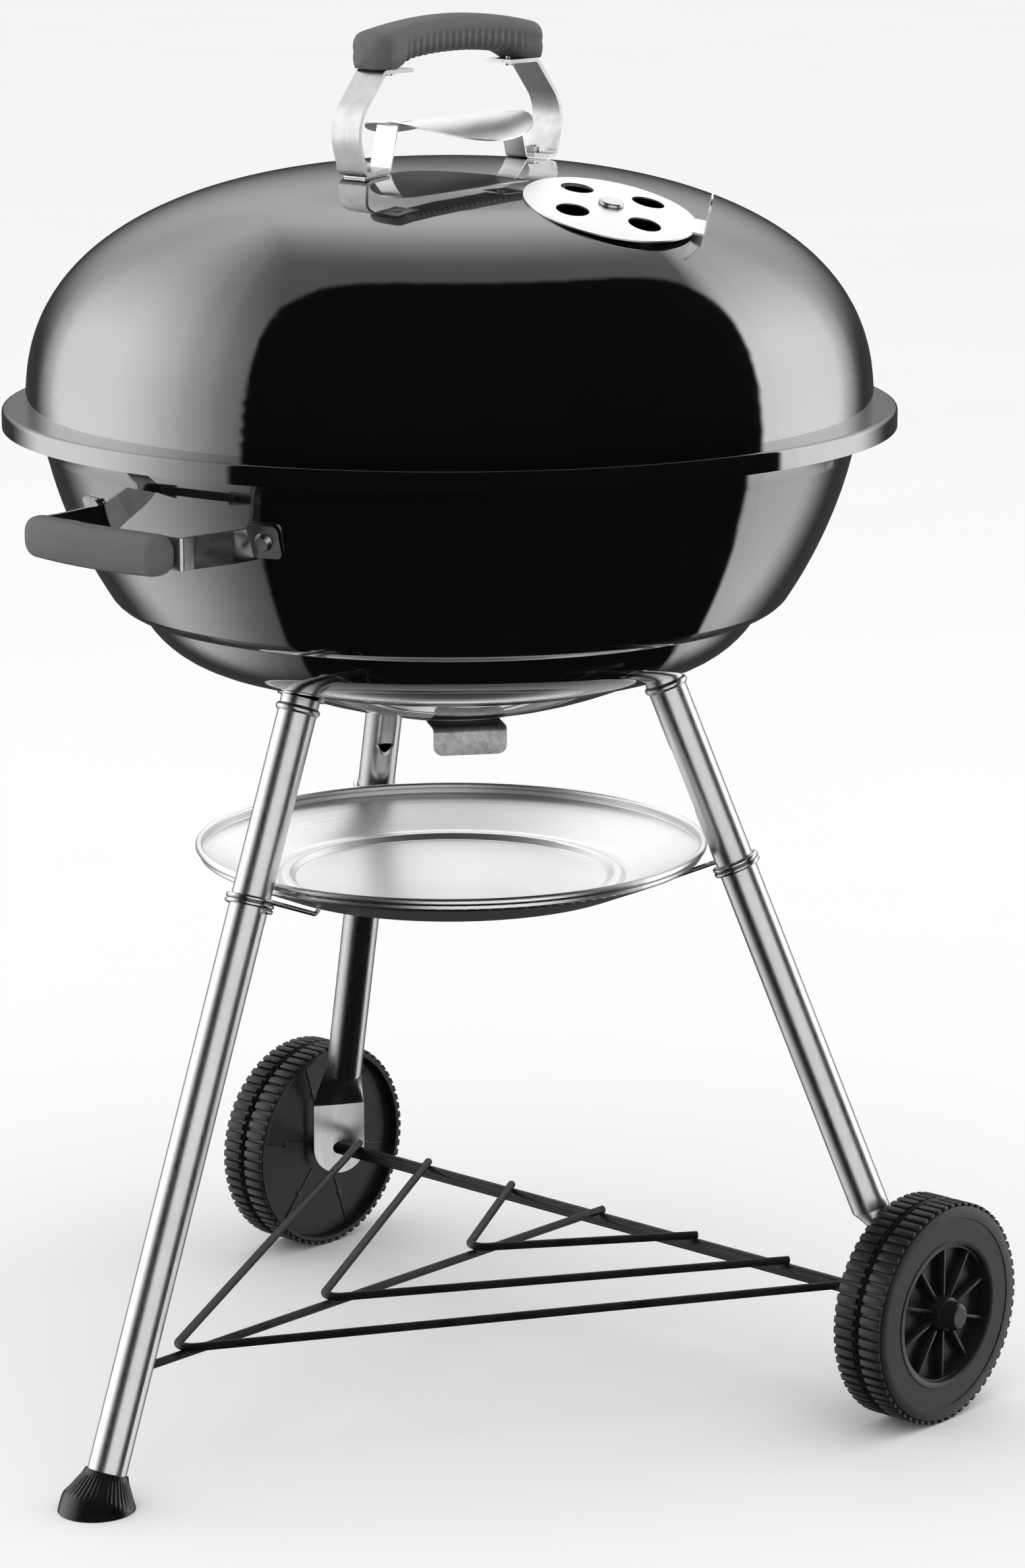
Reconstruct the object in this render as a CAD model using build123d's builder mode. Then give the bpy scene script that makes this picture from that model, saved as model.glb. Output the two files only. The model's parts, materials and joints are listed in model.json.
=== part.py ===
from build123d import *
from math import asin, atan, cos, degrees, radians, sin, sqrt, tan
import os

# A 57 cm kettle charcoal grill. +Z is up, the wheel axle runs along X, the foot leg points to -Y.
# The floor is z = 0 and the origin is the middle of the footprint. Millimetres and degrees.

# ---- sheet metal and fits ----
sheet = 1.2              # enamelled steel of the lid and the bowl
strap_sheet = 2.5        # handle straps
tray_sheet = 1.0         # aluminium ash tray and dampers
rest_gap = 0.3           # between a loose piece and what it rests on
push_fit = 0.05          # radial clearance of a pushed-on or running part
bolt_clearance = 0.2     # radial clearance of a bolt in its hole
seat_gap = 0.05          # between two pieces that are clamped together

# ---- bowl: radii, and drops measured down from the top of the rim ----
rim_top = 667.0
rim_radius = 279.5
bead_radius = 4.5
fold_radius, fold_drop = 262.0, 27.0
wall_radius, wall_drop = 247.0, 73.0
shoulder_radius, shoulder_drop = 221.0, 122.0
ledge_radius, ledge_drop = 207.0, 130.5
ledge_width = 4.0
belly_radius, belly_drop = 177.0, 159.0
base_radius, base_drop = 140.0, 169.0
base_fold = 4.0
bottom_drop = 203.0

# ---- lid ----
lip_radius = 290.0
lip_drop = 12.5
hem = 2.6                # folded edge of the lip
dome_radius = 274.5
dome_height = 155.0
dome_power = 2.4         # exponent of the dome's outline
damper_radius = 55.0
damper_reach = 152.0     # from the kettle's axis to the middle of the lid damper
damper_azimuth = -6.0
damper_curve = 540.0     # the lid damper's own dishing
vent_radius = 10.5
vent_reach = 32.0
lid_vents = 4
tab_width, tab_height = 28.0, 23.0
lid_tab_turn = 45.0      # from the tab's place to straight down the lid
rivet_radius = 4.0
hook_azimuth = 160.0     # the hanging hook inside the lid
hook_reach = 262.0
hook_plate = 18.0
hook_rivet_spread = 7.0

# ---- handles ----
lid_grip_length = 150.0
lid_grip_top = 918.5
lid_grip_half = (16.5, 13.5)
lid_grip_arch = 9.0
lid_foot_reach = 79.0
lid_strap_width = 24.0
lid_strap_bow = 9.0
foot_length = 22.0
shield_length, shield_width = 124.0, 92.0
shield_rise = 32.0
shield_curve = 90.0
shield_foot_width = 18.0
bowl_handle_drop = 50.0
bowl_handle_spread = 74.0
bowl_grip_reach = 313.0
bowl_grip_length = 124.0
bowl_grip_radius = 13.5
bowl_strap_height = 20.0
bolt_radius = 2.5
bolt_head_radius = 6.0
bolt_head_height = 3.2
nut_width, nut_height = 8.0, 4.0
screw_radius = 2.0
screw_head_radius = 4.0
screw_depth = 12.0

# ---- grates ----
grate_ring_radius = 253.0
grate_ring_wire = 3.0
grate_rod_wire = 2.0
grate_rod_pitch = 16.0
grate_level_drop = 23.0
coal_ring_radius = 204.5
coal_rod_wire = 3.0
coal_rod_pitch = 30.0
bracket_width, bracket_depth, bracket_height = 24.0, 12.0, 12.0

# ---- legs and foot ----
tube_radius = 12.7
tube_wall = 1.2
front_splay, wheel_splay = 21.0, 21.9     # the foot leg's and the wheel legs' angle from upright
wheel_leg_azimuth = 31.0
socket_radius = 140.0
socket_drop = 172.5
mouth_drop = 174.0
pocket_depth = 20.0
collar_flare = 7.0
bead_drop = 7.0
bead_swell = 1.8
dent_radius, dent_depth = 10.0, 4.0
dent_top_drop, dent_bottom_drop = 202.0, 276.0
crimp_top = 138.0
plate_top = 108.0
plate_half_width = 19.0
plate_thickness = 3.0
plate_reach = 300.0
boot_radius = 24.5
boot_top = 22.0
boot_collar = 14.6
boot_cone = 20.0
boot_floor = 6.0

# ---- wheels, axle and rack ----
wheel_radius = 75.0
wheel_width = 38.0
tread_depth = 2.4
lug_count = 32
lug_share = 0.62          # part of the tread's round that is lug
axle_radius = 4.75
hub_radius = 11.0
hub_wall_gap = 9.0        # from the middle of the leg's plate to the wheel's hub
wheel_face_gap = 7.0      # from the middle of the leg's plate to the wheel's rim
face_inner_radius = 46.0
back_recess = 6.5
spoke_count = 10
cap_radius, cap_length = 9.5, 8.0
rack_wire = 2.75
rack_bend = 9.0
rack_lines = {"outer": (236.0, 33.0), "middle": (167.0, 168.0), "inner": (86.0, 310.0)}   # half span, apex

# ---- ash tray and its clips ----
tray_radius = 169.4
tray_top = 377.0
tray_lip = 8.0
tray_depth = 27.0
groove_radius = 110.0
clip_wire = 1.6
clip_turns = 2
clip_drop = 6.0           # the clip's coil lies this far under the tray's rim
clip_arm = 47.0

bottom_vents = 4
bottom_vent_reach = 30.0
bottom_damper_radius = 52.0
bottom_tab_azimuth = -37.0
bottom_tab_width = 48.0
bottom_tab_reach = 70.0
bottom_tab_drop = 17.0

# ---- places worked out from the sizes ----
wheel_z = wheel_radius
socket_z = rim_top - socket_drop
mouth_z = rim_top - mouth_drop
flange_z = rim_top + rest_gap
flange_top = flange_z + sheet
foot_azimuth = -90.0
leg_azimuths = {"front": foot_azimuth, "right": wheel_leg_azimuth, "left": 180 - wheel_leg_azimuth}


def leg_splay(azimuth):
    return front_splay if azimuth == foot_azimuth else wheel_splay


def leg_reach(azimuth, z):
    # distance of the leg's middle line from the kettle's axis at a height
    return socket_radius + tan(radians(leg_splay(azimuth))) * (socket_z - z)


front_reach = leg_reach(foot_azimuth, 0) + boot_radius / cos(radians(front_splay))
kettle_y = (front_reach - lip_radius) / 2
plate_x = plate_reach * cos(radians(wheel_leg_azimuth))
axle_y = kettle_y + plate_reach * sin(radians(wheel_leg_azimuth))

kettle_axis = Axis((0, kettle_y, 0), (0, 0, 1))
profile_plane = Plane(origin=(0, kettle_y, 0), x_dir=(1, 0, 0), z_dir=(0, -1, 0))
axle_line = Axis((0, axle_y, wheel_z), (1, 0, 0))


def radial_plane(azimuth):
    a = radians(azimuth)
    return Plane(origin=(0, kettle_y, 0), x_dir=(cos(a), sin(a), 0), z_dir=(sin(a), -cos(a), 0))


def leg_plane(azimuth, z):
    # local z runs down the leg, local x round the kettle, local y outwards
    a, s, reach = radians(azimuth), radians(leg_splay(azimuth)), leg_reach(azimuth, z)
    return Plane(
        origin=(reach * cos(a), kettle_y + reach * sin(a), z),
        x_dir=(-sin(a), cos(a), 0),
        z_dir=(sin(s) * cos(a), sin(s) * sin(a), -cos(s)),
    )


def tangent_plane(azimuth, reach, z, slope):
    # a plane on a surface of revolution: local z is the outward normal, slope is dz/dr there
    a, tilt = radians(azimuth), atan(-slope)
    return Plane(
        origin=(reach * cos(a), kettle_y + reach * sin(a), z),
        x_dir=(cos(a) * cos(tilt), sin(a) * cos(tilt), -sin(tilt)),
        z_dir=(cos(a) * sin(tilt), sin(a) * sin(tilt), cos(tilt)),
    )


def save(piece, name):
    piece.part.label = name
    export_step(piece.part, f"parts/{name}.step")


os.makedirs("parts", exist_ok=True)

# ================= lid =================


def dome_z(r):
    return flange_top + dome_height * (1 - (r / dome_radius) ** dome_power) ** (1 / dome_power)


def dome_slope(r):
    return dome_z(r + 0.5) - dome_z(r - 0.5)


def dome_points(inset):
    # points of the dome's outline, moved inwards along its normal
    points = []
    for i in range(25):
        t = radians(90 * i / 24)
        across, up = sin(t) ** (2 / dome_power), abs(cos(t)) ** (2 / dome_power)
        steep = across ** (dome_power - 1) / dome_radius, up ** (dome_power - 1) / dome_height
        normal = Vector(*steep).normalized()
        points.append((dome_radius * across - inset * normal.X, flange_top + dome_height * up - inset * normal.Y))
    return points


damper_plane = tangent_plane(damper_azimuth, damper_reach, dome_z(damper_reach), dome_slope(damper_reach))
lid_foot_plane = {
    end: tangent_plane(azimuth, lid_foot_reach, dome_z(lid_foot_reach), dome_slope(lid_foot_reach))
    for end, azimuth in (("front", -90), ("rear", 90))
}
hook_plane = tangent_plane(hook_azimuth, hook_reach, dome_z(hook_reach), dome_slope(hook_reach))

with BuildPart() as lid_shell:
    with BuildSketch(profile_plane):
        with BuildLine():
            Spline(dome_points(0), tangents=[(1, 0), (0, -1)])
            Polyline(
                (dome_radius, flange_top),
                (lip_radius, flange_top),
                (lip_radius, flange_top - lip_drop),
                (lip_radius - hem, flange_top - lip_drop),
                (lip_radius - hem, flange_z),
                (dome_radius - sheet, flange_z),
                (dome_radius - sheet, flange_top),
            )
            Spline(dome_points(sheet), tangents=[(1, 0), (0, -1)])
            Line((0, flange_top + dome_height - sheet), (0, flange_top + dome_height))
        lip = make_face()
        lip_corners = lip.vertices().sort_by(Axis.X)[-4:]
        fillet(lip_corners.sort_by(Axis.Y)[-1:], hem * 0.9)
        fillet(lip.vertices().sort_by(Axis.Y)[:2], hem * 0.45)
    revolve(axis=kettle_axis)
    with BuildSketch(damper_plane):
        with PolarLocations(vent_reach, lid_vents):
            Circle(vent_radius)
        Circle(rivet_radius + bolt_clearance)
    extrude(amount=3 * sheet, both=True, mode=Mode.SUBTRACT)
    for plane in lid_foot_plane.values():
        with BuildSketch(plane):
            Circle(bolt_radius + bolt_clearance)
        extrude(amount=3 * sheet, both=True, mode=Mode.SUBTRACT)
    with BuildSketch(hook_plane):
        with Locations((0, hook_rivet_spread), (0, -hook_rivet_spread)):
            Circle(bolt_radius * 0.8 + bolt_clearance)
    extrude(amount=3 * sheet, both=True, mode=Mode.SUBTRACT)
save(lid_shell, "lid_shell")

# the round damper plate, dished, with a rivet in the middle and a bent-up tab
with BuildPart() as lid_damper:
    arc_plane = Plane(origin=damper_plane.origin, x_dir=damper_plane.x_dir, z_dir=damper_plane.y_dir)
    sag = damper_curve - sqrt(damper_curve**2 - damper_radius**2)
    with BuildSketch(arc_plane):
        with BuildLine():
            low = ThreePointArc(
                (-0.0, -rest_gap),
                (damper_radius / 2, -rest_gap + damper_curve - sqrt(damper_curve**2 - damper_radius**2 / 4)),
                (damper_radius, -rest_gap + sag),
            )
            Line(low @ 1, (damper_radius, sag - rest_gap - tray_sheet))
            ThreePointArc(
                (damper_radius, sag - rest_gap - tray_sheet),
                (damper_radius / 2, sag / 4 - rest_gap - tray_sheet),
                (0, -rest_gap - tray_sheet),
            )
            Line((0, -rest_gap - tray_sheet), (0, -rest_gap))
        make_face()
    revolve(axis=Axis(damper_plane.origin, damper_plane.z_dir))
    turn = radians(lid_tab_turn)
    tab_plane = Plane(
        origin=damper_plane.origin,
        x_dir=damper_plane.x_dir * cos(turn) + damper_plane.y_dir * sin(turn),
        z_dir=damper_plane.z_dir,
    )
    tab_low = rest_gap - sag
    tab_root = sqrt(damper_radius**2 - tab_width**2 / 4) - 1
    tab_end = damper_radius + 6
    with BuildSketch(tab_plane.offset(tab_low)):
        with Locations(((tab_root + tab_end) / 2, 0)):
            Rectangle(tab_end - tab_root, tab_width)
    extrude(amount=1.4 * tray_sheet)
    with BuildSketch(tab_plane.offset(tab_low)):
        with Locations((tab_end - tray_sheet / 2, 0)):
            Rectangle(tray_sheet, tab_width)
    tab = extrude(amount=tab_height)
    tab_edges = lid_damper.edges().filter_by(lambda e: abs(e.length - tray_sheet) < 0.01)
    fillet(tab_edges.sort_by(Axis(tab_plane.origin, tab_plane.z_dir))[-2:], 7)
    with BuildSketch(damper_plane):
        with PolarLocations(vent_reach, lid_vents):
            Circle(vent_radius)
        Circle(rivet_radius + bolt_clearance)
    extrude(amount=20, both=True, mode=Mode.SUBTRACT)
save(lid_damper, "lid_damper")

with BuildPart() as lid_damper_rivet:
    rivet_inside, rivet_outside = -sheet - 0.5, 2 * rest_gap + tray_sheet
    with BuildSketch(damper_plane.offset(rivet_inside)):
        Circle(rivet_radius + 4)
    extrude(amount=-1.2)
    with BuildSketch(damper_plane.offset(rivet_inside)):
        Circle(rivet_radius)
    extrude(amount=rivet_outside - rivet_inside)
    with BuildSketch(damper_plane.offset(rivet_outside)):
        Circle(rivet_radius + 4)
    crown = extrude(amount=2.2)
    fillet(crown.edges().filter_by(GeomType.CIRCLE).sort_by(Axis.Z)[-1:], 1.4)
save(lid_damper_rivet, "lid_damper_rivet")

# ---- lid handle: grip, two bowed straps, the heat shield and their fasteners ----
grip_half_width, grip_half_height = lid_grip_half
grip_mid_z = lid_grip_top - grip_half_height
grip_end_z = grip_mid_z - lid_grip_arch
grip_end_y = lid_grip_length / 2
strap_top_y = grip_end_y - 16
strap_top_z = grip_end_z - grip_half_height * 0.72
side_plane = Plane(origin=(0, kettle_y, 0), x_dir=(0, 1, 0), z_dir=(1, 0, 0))
grip_screw_y = strap_top_y - 2


def sheet_strip(plane, points, radii, thickness, width, side=Side.LEFT):
    # a bent strip: the line through the points is one face of the metal, the thickness goes to one side of it
    with BuildPart() as piece:
        with BuildSketch(plane):
            with BuildLine():
                FilletPolyline(*points, radius=radii)
                offset(amount=thickness, side=side)
            make_face()
        extrude(amount=width / 2, both=True)
    return piece.part


def bolt(plane, head_at, tip_at):
    # a dome-headed bolt along the plane's normal, from the head's underside to the tip
    way = 1 if head_at > tip_at else -1
    with BuildPart() as piece:
        with BuildSketch(plane.offset(tip_at)):
            Circle(bolt_radius)
        extrude(amount=head_at - tip_at)
        with BuildSketch(plane.offset(head_at)):
            Circle(bolt_head_radius)
        extrude(amount=way * bolt_head_height, taper=28)
    return piece.part


def nut(plane, start, way):
    with BuildPart() as piece:
        with BuildSketch(plane.offset(start)):
            RegularPolygon(nut_width / 2 / cos(radians(30)), 6)
            Circle(bolt_radius + push_fit, mode=Mode.SUBTRACT)
        extrude(amount=way * nut_height)
    return piece.part


with BuildPart() as lid_handle_grip:
    with BuildLine(side_plane):
        spine = ThreePointArc((-grip_end_y, grip_end_z), (0, grip_mid_z), (grip_end_y, grip_end_z))
    with BuildSketch(Plane(origin=spine @ 0, x_dir=(1, 0, 0), z_dir=spine % 0)):
        Ellipse(grip_half_width, grip_half_height)
    sweep(path=spine)
    fillet(lid_handle_grip.faces().filter_by(GeomType.PLANE).edges(), 5)
    # flat seats for the strap ends, and the screw holes
    for end in (-1, 1):
        with BuildSketch(Plane.XY.offset(strap_top_z)):
            with Locations((0, kettle_y + end * grip_end_y)):
                Rectangle(3 * grip_half_width, 64)
        extrude(amount=-2 * grip_half_height, mode=Mode.SUBTRACT)
        with BuildSketch(Plane.XY.offset(strap_top_z)):
            with Locations((0, kettle_y + end * grip_screw_y)):
                Circle(screw_radius + push_fit)
        extrude(amount=screw_depth, mode=Mode.SUBTRACT)
save(lid_handle_grip, "lid_handle_grip")

lid_seat = tray_sheet + 2 * seat_gap      # height of the strap's foot over the lid, on the shield's foot
foot_z = dome_z(lid_foot_reach)
foot_tilt = atan(-dome_slope(lid_foot_reach))
foot_normal = (sin(foot_tilt), cos(foot_tilt))
foot_along = (cos(foot_tilt), -sin(foot_tilt))


def on_lid_foot(along, above):
    # side-view point at a distance along the foot and above the lid
    return (
        lid_foot_reach + foot_along[0] * along + foot_normal[0] * above,
        foot_z + foot_along[1] * along + foot_normal[1] * above,
    )


foot_inner, foot_outer = on_lid_foot(-foot_length / 2, lid_seat), on_lid_foot(foot_length / 2, lid_seat)
strap_bend = (foot_outer[0] + lid_strap_bow, (foot_outer[1] + strap_top_z) / 2)
strap_corner = (grip_end_y - 3, strap_top_z - seat_gap)
strap_end = (grip_screw_y - foot_length / 2, strap_corner[1])
strap_points = [foot_inner, foot_outer, strap_bend, strap_corner, strap_end]
lid_strap = sheet_strip(side_plane, strap_points, [5, 30, 5], strap_sheet, lid_strap_width)
screw_seat_z = strap_corner[1] - strap_sheet
with BuildPart() as lid_handle_strap_rear:
    add(lid_strap)
    with BuildSketch(lid_foot_plane["rear"]):
        Circle(bolt_radius + bolt_clearance)
    extrude(amount=foot_length / 2, mode=Mode.SUBTRACT)
    with BuildSketch(Plane.XY.offset(screw_seat_z - 1)):
        with Locations((0, kettle_y + grip_screw_y)):
            Circle(screw_radius + bolt_clearance)
    extrude(amount=strap_sheet + 2, mode=Mode.SUBTRACT)
save(lid_handle_strap_rear, "lid_handle_strap_rear")

with BuildPart() as lid_handle_strap_front:
    mirror(lid_handle_strap_rear.part, about=profile_plane)
save(lid_handle_strap_front, "lid_handle_strap_front")

with BuildPart() as lid_grip_screws:
    for end in (-1, 1):
        with BuildSketch(Plane((0, kettle_y + end * grip_screw_y, screw_seat_z - seat_gap))):
            Circle(screw_head_radius)
        extrude(amount=-2)
        with BuildSketch(Plane((0, kettle_y + end * grip_screw_y, screw_seat_z - seat_gap))):
            Circle(screw_radius)
        extrude(amount=strap_sheet + screw_depth - 1)
save(lid_grip_screws, "lid_grip_screws")

shield_top_z = foot_z + shield_rise
shield_sag = shield_curve - sqrt(shield_curve**2 - shield_width**2 / 4)
shield_leg_y = shield_length / 2 - 6
shield_leg = sheet_strip(
    side_plane,
    [
        (shield_leg_y - 12, shield_top_z),
        (shield_leg_y, shield_top_z),
        on_lid_foot(-foot_length / 2 - 4, seat_gap),
        on_lid_foot(foot_length / 2 - 2, seat_gap),
    ],
    [3, 3],
    tray_sheet,
    shield_foot_width,
)
with BuildPart() as lid_heat_shield:
    # a leaf of sheet metal, curved down at its long sides
    with BuildSketch(profile_plane):
        with BuildLine():
            edge_z = shield_top_z - shield_sag
            ThreePointArc((-shield_width / 2, edge_z), (0, shield_top_z), (shield_width / 2, edge_z))
            offset(amount=tray_sheet, side=Side.LEFT)
        make_face()
    extrude(amount=shield_length / 2, both=True)
    with BuildSketch(Plane((0, kettle_y, shield_top_z - 40))):
        Ellipse(shield_width / 2, shield_length / 2)
    extrude(amount=60, mode=Mode.INTERSECT)
    add(shield_leg)
    mirror(shield_leg, about=profile_plane)
    for plane in lid_foot_plane.values():
        with BuildSketch(plane):
            Circle(bolt_radius + bolt_clearance)
        extrude(amount=foot_length / 2, mode=Mode.SUBTRACT)
save(lid_heat_shield, "lid_heat_shield")

clamp_top = lid_seat + strap_sheet + seat_gap
with BuildPart() as lid_handle_bolts:
    for plane in lid_foot_plane.values():
        add(bolt(plane, -sheet - rest_gap, clamp_top + nut_height + 1))
save(lid_handle_bolts, "lid_handle_bolts")

with BuildPart() as lid_handle_nuts:
    for plane in lid_foot_plane.values():
        add(nut(plane, clamp_top, 1))
save(lid_handle_nuts, "lid_handle_nuts")

# ---- the hook inside the lid, to hang it on the bowl's rim ----
hook_side = Plane(origin=hook_plane.origin, x_dir=hook_plane.x_dir, z_dir=-hook_plane.y_dir)
hook_under = -sheet - 2 * rest_gap
hook_sheet = 1.6
hook_end = -hook_plate / 2
with BuildPart() as lid_hook:
    add(
        sheet_strip(
            hook_side,
            [
                (hook_plate / 2, hook_under),
                (hook_end, hook_under),
                (hook_end - 5, hook_under - 8),
                (hook_end - 5, hook_under - 22),
                (hook_end + 10, hook_under - 22),
            ],
            [3, 3, 4],
            hook_sheet,
            20,
        )
    )
    with BuildSketch(hook_plane):
        with Locations((0, hook_rivet_spread), (0, -hook_rivet_spread)):
            Circle(bolt_radius * 0.8 + bolt_clearance)
    extrude(amount=-6, mode=Mode.SUBTRACT)
save(lid_hook, "lid_hook")

with BuildPart() as lid_hook_rivets:
    hook_inner = hook_under - hook_sheet
    for side in (-1, 1):
        spot_at = hook_plane.from_local_coords(Vector(0, side * hook_rivet_spread, 0))
        spot = Plane(spot_at, hook_plane.x_dir, hook_plane.z_dir)
        with BuildSketch(spot.offset(hook_inner - seat_gap)):
            Circle(bolt_radius * 0.8)
        extrude(amount=-hook_inner + 3 * seat_gap)
        with BuildSketch(spot.offset(2 * seat_gap)):
            Circle(bolt_radius * 1.4)
        extrude(amount=1.2, taper=35)
        with BuildSketch(spot.offset(hook_inner - seat_gap)):
            Circle(bolt_radius * 1.4)
        extrude(amount=-1.2)
save(lid_hook_rivets, "lid_hook_rivets")

# ================= bowl =================


def drop(r, down):
    return (r, rim_top - down)


bottom_curve = ((base_radius - base_fold) ** 2 + (bottom_drop - base_drop - base_fold) ** 2) / (
    2 * (bottom_drop - base_drop - base_fold)
)


def bottom_z(r):
    # outer face of the shallow bottom
    return rim_top - bottom_drop + bottom_curve - sqrt(bottom_curve**2 - r**2)


flare = ThreePointArc(
    drop(rim_radius, bead_radius), drop(fold_radius + 4, 0.55 * fold_drop), drop(fold_radius, fold_drop)
)
wall = ThreePointArc(
    drop(fold_radius, fold_drop), drop(wall_radius, wall_drop), drop(shoulder_radius, shoulder_drop)
)
shoulder = ThreePointArc(
    drop(shoulder_radius, shoulder_drop),
    drop(ledge_radius + 6.5, shoulder_drop + 6.2),
    drop(ledge_radius, ledge_drop),
)
ledge = Line(drop(ledge_radius, ledge_drop), drop(ledge_radius - ledge_width, ledge_drop + 1))
belly = ThreePointArc(
    drop(ledge_radius - ledge_width, ledge_drop + 1), drop(belly_radius, belly_drop), drop(base_radius, base_drop)
)
fold = Line(drop(base_radius, base_drop), drop(base_radius - base_fold, base_drop + base_fold))
bottom = ThreePointArc(
    drop(base_radius - base_fold, base_drop + base_fold),
    (base_radius / 2, bottom_z(base_radius / 2)),
    drop(0, bottom_drop),
)
bowl_line = [flare, wall, shoulder, ledge, belly, fold, bottom]


def wall_at(z):
    # outer radius of the bowl's wall at a height, and how fast the height grows with the radius
    low, high = 0.0, 1.0
    for _ in range(40):
        middle = (low + high) / 2
        low, high = (middle, high) if (wall @ middle).Y > z else (low, middle)
    way = wall % low
    return (wall @ low).X, way.Y / way.X


def leg_round(radius, azimuth, z, length):
    # a round bar along a leg, downwards from a height, or upwards where the length is negative
    with BuildPart() as bar:
        with BuildSketch(leg_plane(azimuth, z)):
            Circle(radius)
        extrude(amount=length)
    return bar.part


with BuildPart() as bowl_solid:
    # everything inside the outer face
    with BuildSketch(profile_plane):
        with BuildLine():
            add(bowl_line)
            Polyline(drop(0, bottom_drop), drop(0, bead_radius), drop(rim_radius, bead_radius))
        make_face()
    revolve(axis=kettle_axis)

with BuildPart() as bowl_inside:
    add(bowl_solid.part)
    offset(amount=-sheet)

with BuildPart() as bowl_collars:
    for azimuth in leg_azimuths.values():
        with BuildSketch(leg_plane(azimuth, mouth_z)):
            Circle(tube_radius + push_fit + 2 * sheet)
        extrude(amount=-1.4 * pocket_depth, taper=-18)
    add(bowl_inside.part, mode=Mode.SUBTRACT)

bowl_foot_plane = {}
for side in (-1, 1):
    reach, slope = wall_at(rim_top - bowl_handle_drop)
    azimuth = -90 + side * degrees(asin(bowl_handle_spread / reach))
    inward = tangent_plane(azimuth, reach, rim_top - bowl_handle_drop, slope)
    bowl_foot_plane[side] = Plane(origin=inward.origin, x_dir=inward.x_dir, z_dir=-inward.z_dir)

with BuildPart() as bowl_shell:
    add(bowl_solid.part)
    offset(amount=-sheet, openings=bowl_shell.faces().filter_by(GeomType.PLANE).sort_by(Axis.Z)[-1])
    with BuildSketch(profile_plane):
        with Locations(drop(rim_radius, bead_radius)):
            Circle(bead_radius)
    revolve(axis=kettle_axis)
    add(bowl_collars.part)
    for azimuth in leg_azimuths.values():
        add(leg_round(tube_radius + push_fit + sheet, azimuth, mouth_z, -(pocket_depth + sheet)))
    for azimuth in leg_azimuths.values():
        add(leg_round(tube_radius + push_fit, azimuth, mouth_z, -pocket_depth), mode=Mode.SUBTRACT)
    with BuildSketch(Plane((0, kettle_y, rim_top - bottom_drop))):
        with PolarLocations(bottom_vent_reach, bottom_vents):
            Circle(vent_radius)
        Circle(rivet_radius + bolt_clearance)
    extrude(amount=10, both=True, mode=Mode.SUBTRACT)
    for plane in bowl_foot_plane.values():
        with BuildSketch(plane):
            Circle(bolt_radius + bolt_clearance)
        extrude(amount=3 * sheet, both=True, mode=Mode.SUBTRACT)
save(bowl_shell, "bowl_shell")

# ---- welded brackets that carry the cooking grate ----
grate_z = rim_top - grate_level_drop
bracket_top = grate_z - grate_ring_wire - rest_gap
with BuildPart() as inner_room:
    add(bowl_solid.part)
    offset(amount=-sheet - seat_gap)

with BuildPart() as grate_brackets:
    for azimuth in (45, 135, 225, 315):
        block = Plane(
            origin=(0, kettle_y, bracket_top),
            x_dir=(cos(radians(azimuth)), sin(radians(azimuth)), 0),
            z_dir=(0, 0, 1),
        )
        with BuildSketch(block):
            with Locations((grate_ring_radius + 8, 0)):
                Rectangle(22, bracket_width)
        extrude(amount=-bracket_height)
        with BuildSketch(block.offset(-2)):
            with Locations((grate_ring_radius - 6, 0)):
                Rectangle(17, bracket_width - 4)
        extrude(amount=-bracket_height, mode=Mode.SUBTRACT)
    add(inner_room.part, mode=Mode.INTERSECT)
save(grate_brackets, "grate_brackets")

# ---- bowl handle above the foot leg ----
bowl_grip_z = rim_top - bowl_handle_drop - 3
bowl_grip_y = kettle_y - bowl_grip_reach
strap_plane = Plane((0, 0, bowl_grip_z))
grip_half = bowl_grip_length / 2
tongue = 16.0
flat_y = bowl_grip_y + bowl_grip_radius * 0.72     # flat back of the grip, where the strap ends lie
grip_screw_x = grip_half - 1.4 * tongue
strap_foot = bowl_foot_plane[1]
strap_root_x = strap_foot.origin.X - foot_length / 2 + strap_sheet
strap_root_y = strap_foot.origin.Y
with BuildPart() as bowl_handle_strap_right:
    with BuildSketch(strap_foot.offset(seat_gap)):
        RectangleRounded(foot_length, foot_length, 4)
    extrude(amount=strap_sheet)
    add(
        sheet_strip(
            strap_plane,
            [
                (strap_root_x, strap_root_y + 6),
                (strap_root_x, strap_root_y - 18),
                (grip_half - 1, flat_y + strap_sheet + 9),
                (grip_half - 1, flat_y + seat_gap),
                (grip_half - 2 * tongue, flat_y + seat_gap),
            ],
            [10, 10, 3],
            strap_sheet,
            bowl_strap_height,
            Side.RIGHT,
        )
    )
    with BuildSketch(strap_foot.offset(seat_gap)):
        Rectangle(3 * foot_length, 3 * foot_length)
    extrude(amount=-foot_length, mode=Mode.SUBTRACT)
    with BuildSketch(strap_foot):
        Circle(bolt_radius + bolt_clearance)
    extrude(amount=foot_length / 2, mode=Mode.SUBTRACT)
    with BuildSketch(Plane(origin=(grip_screw_x, flat_y, bowl_grip_z), x_dir=(1, 0, 0), z_dir=(0, 1, 0))):
        Circle(screw_radius + bolt_clearance)
    extrude(amount=2 * strap_sheet, mode=Mode.SUBTRACT)
save(bowl_handle_strap_right, "bowl_handle_strap_right")

with BuildPart() as bowl_handle_strap_left:
    mirror(bowl_handle_strap_right.part, about=Plane.YZ)
save(bowl_handle_strap_left, "bowl_handle_strap_left")

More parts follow.
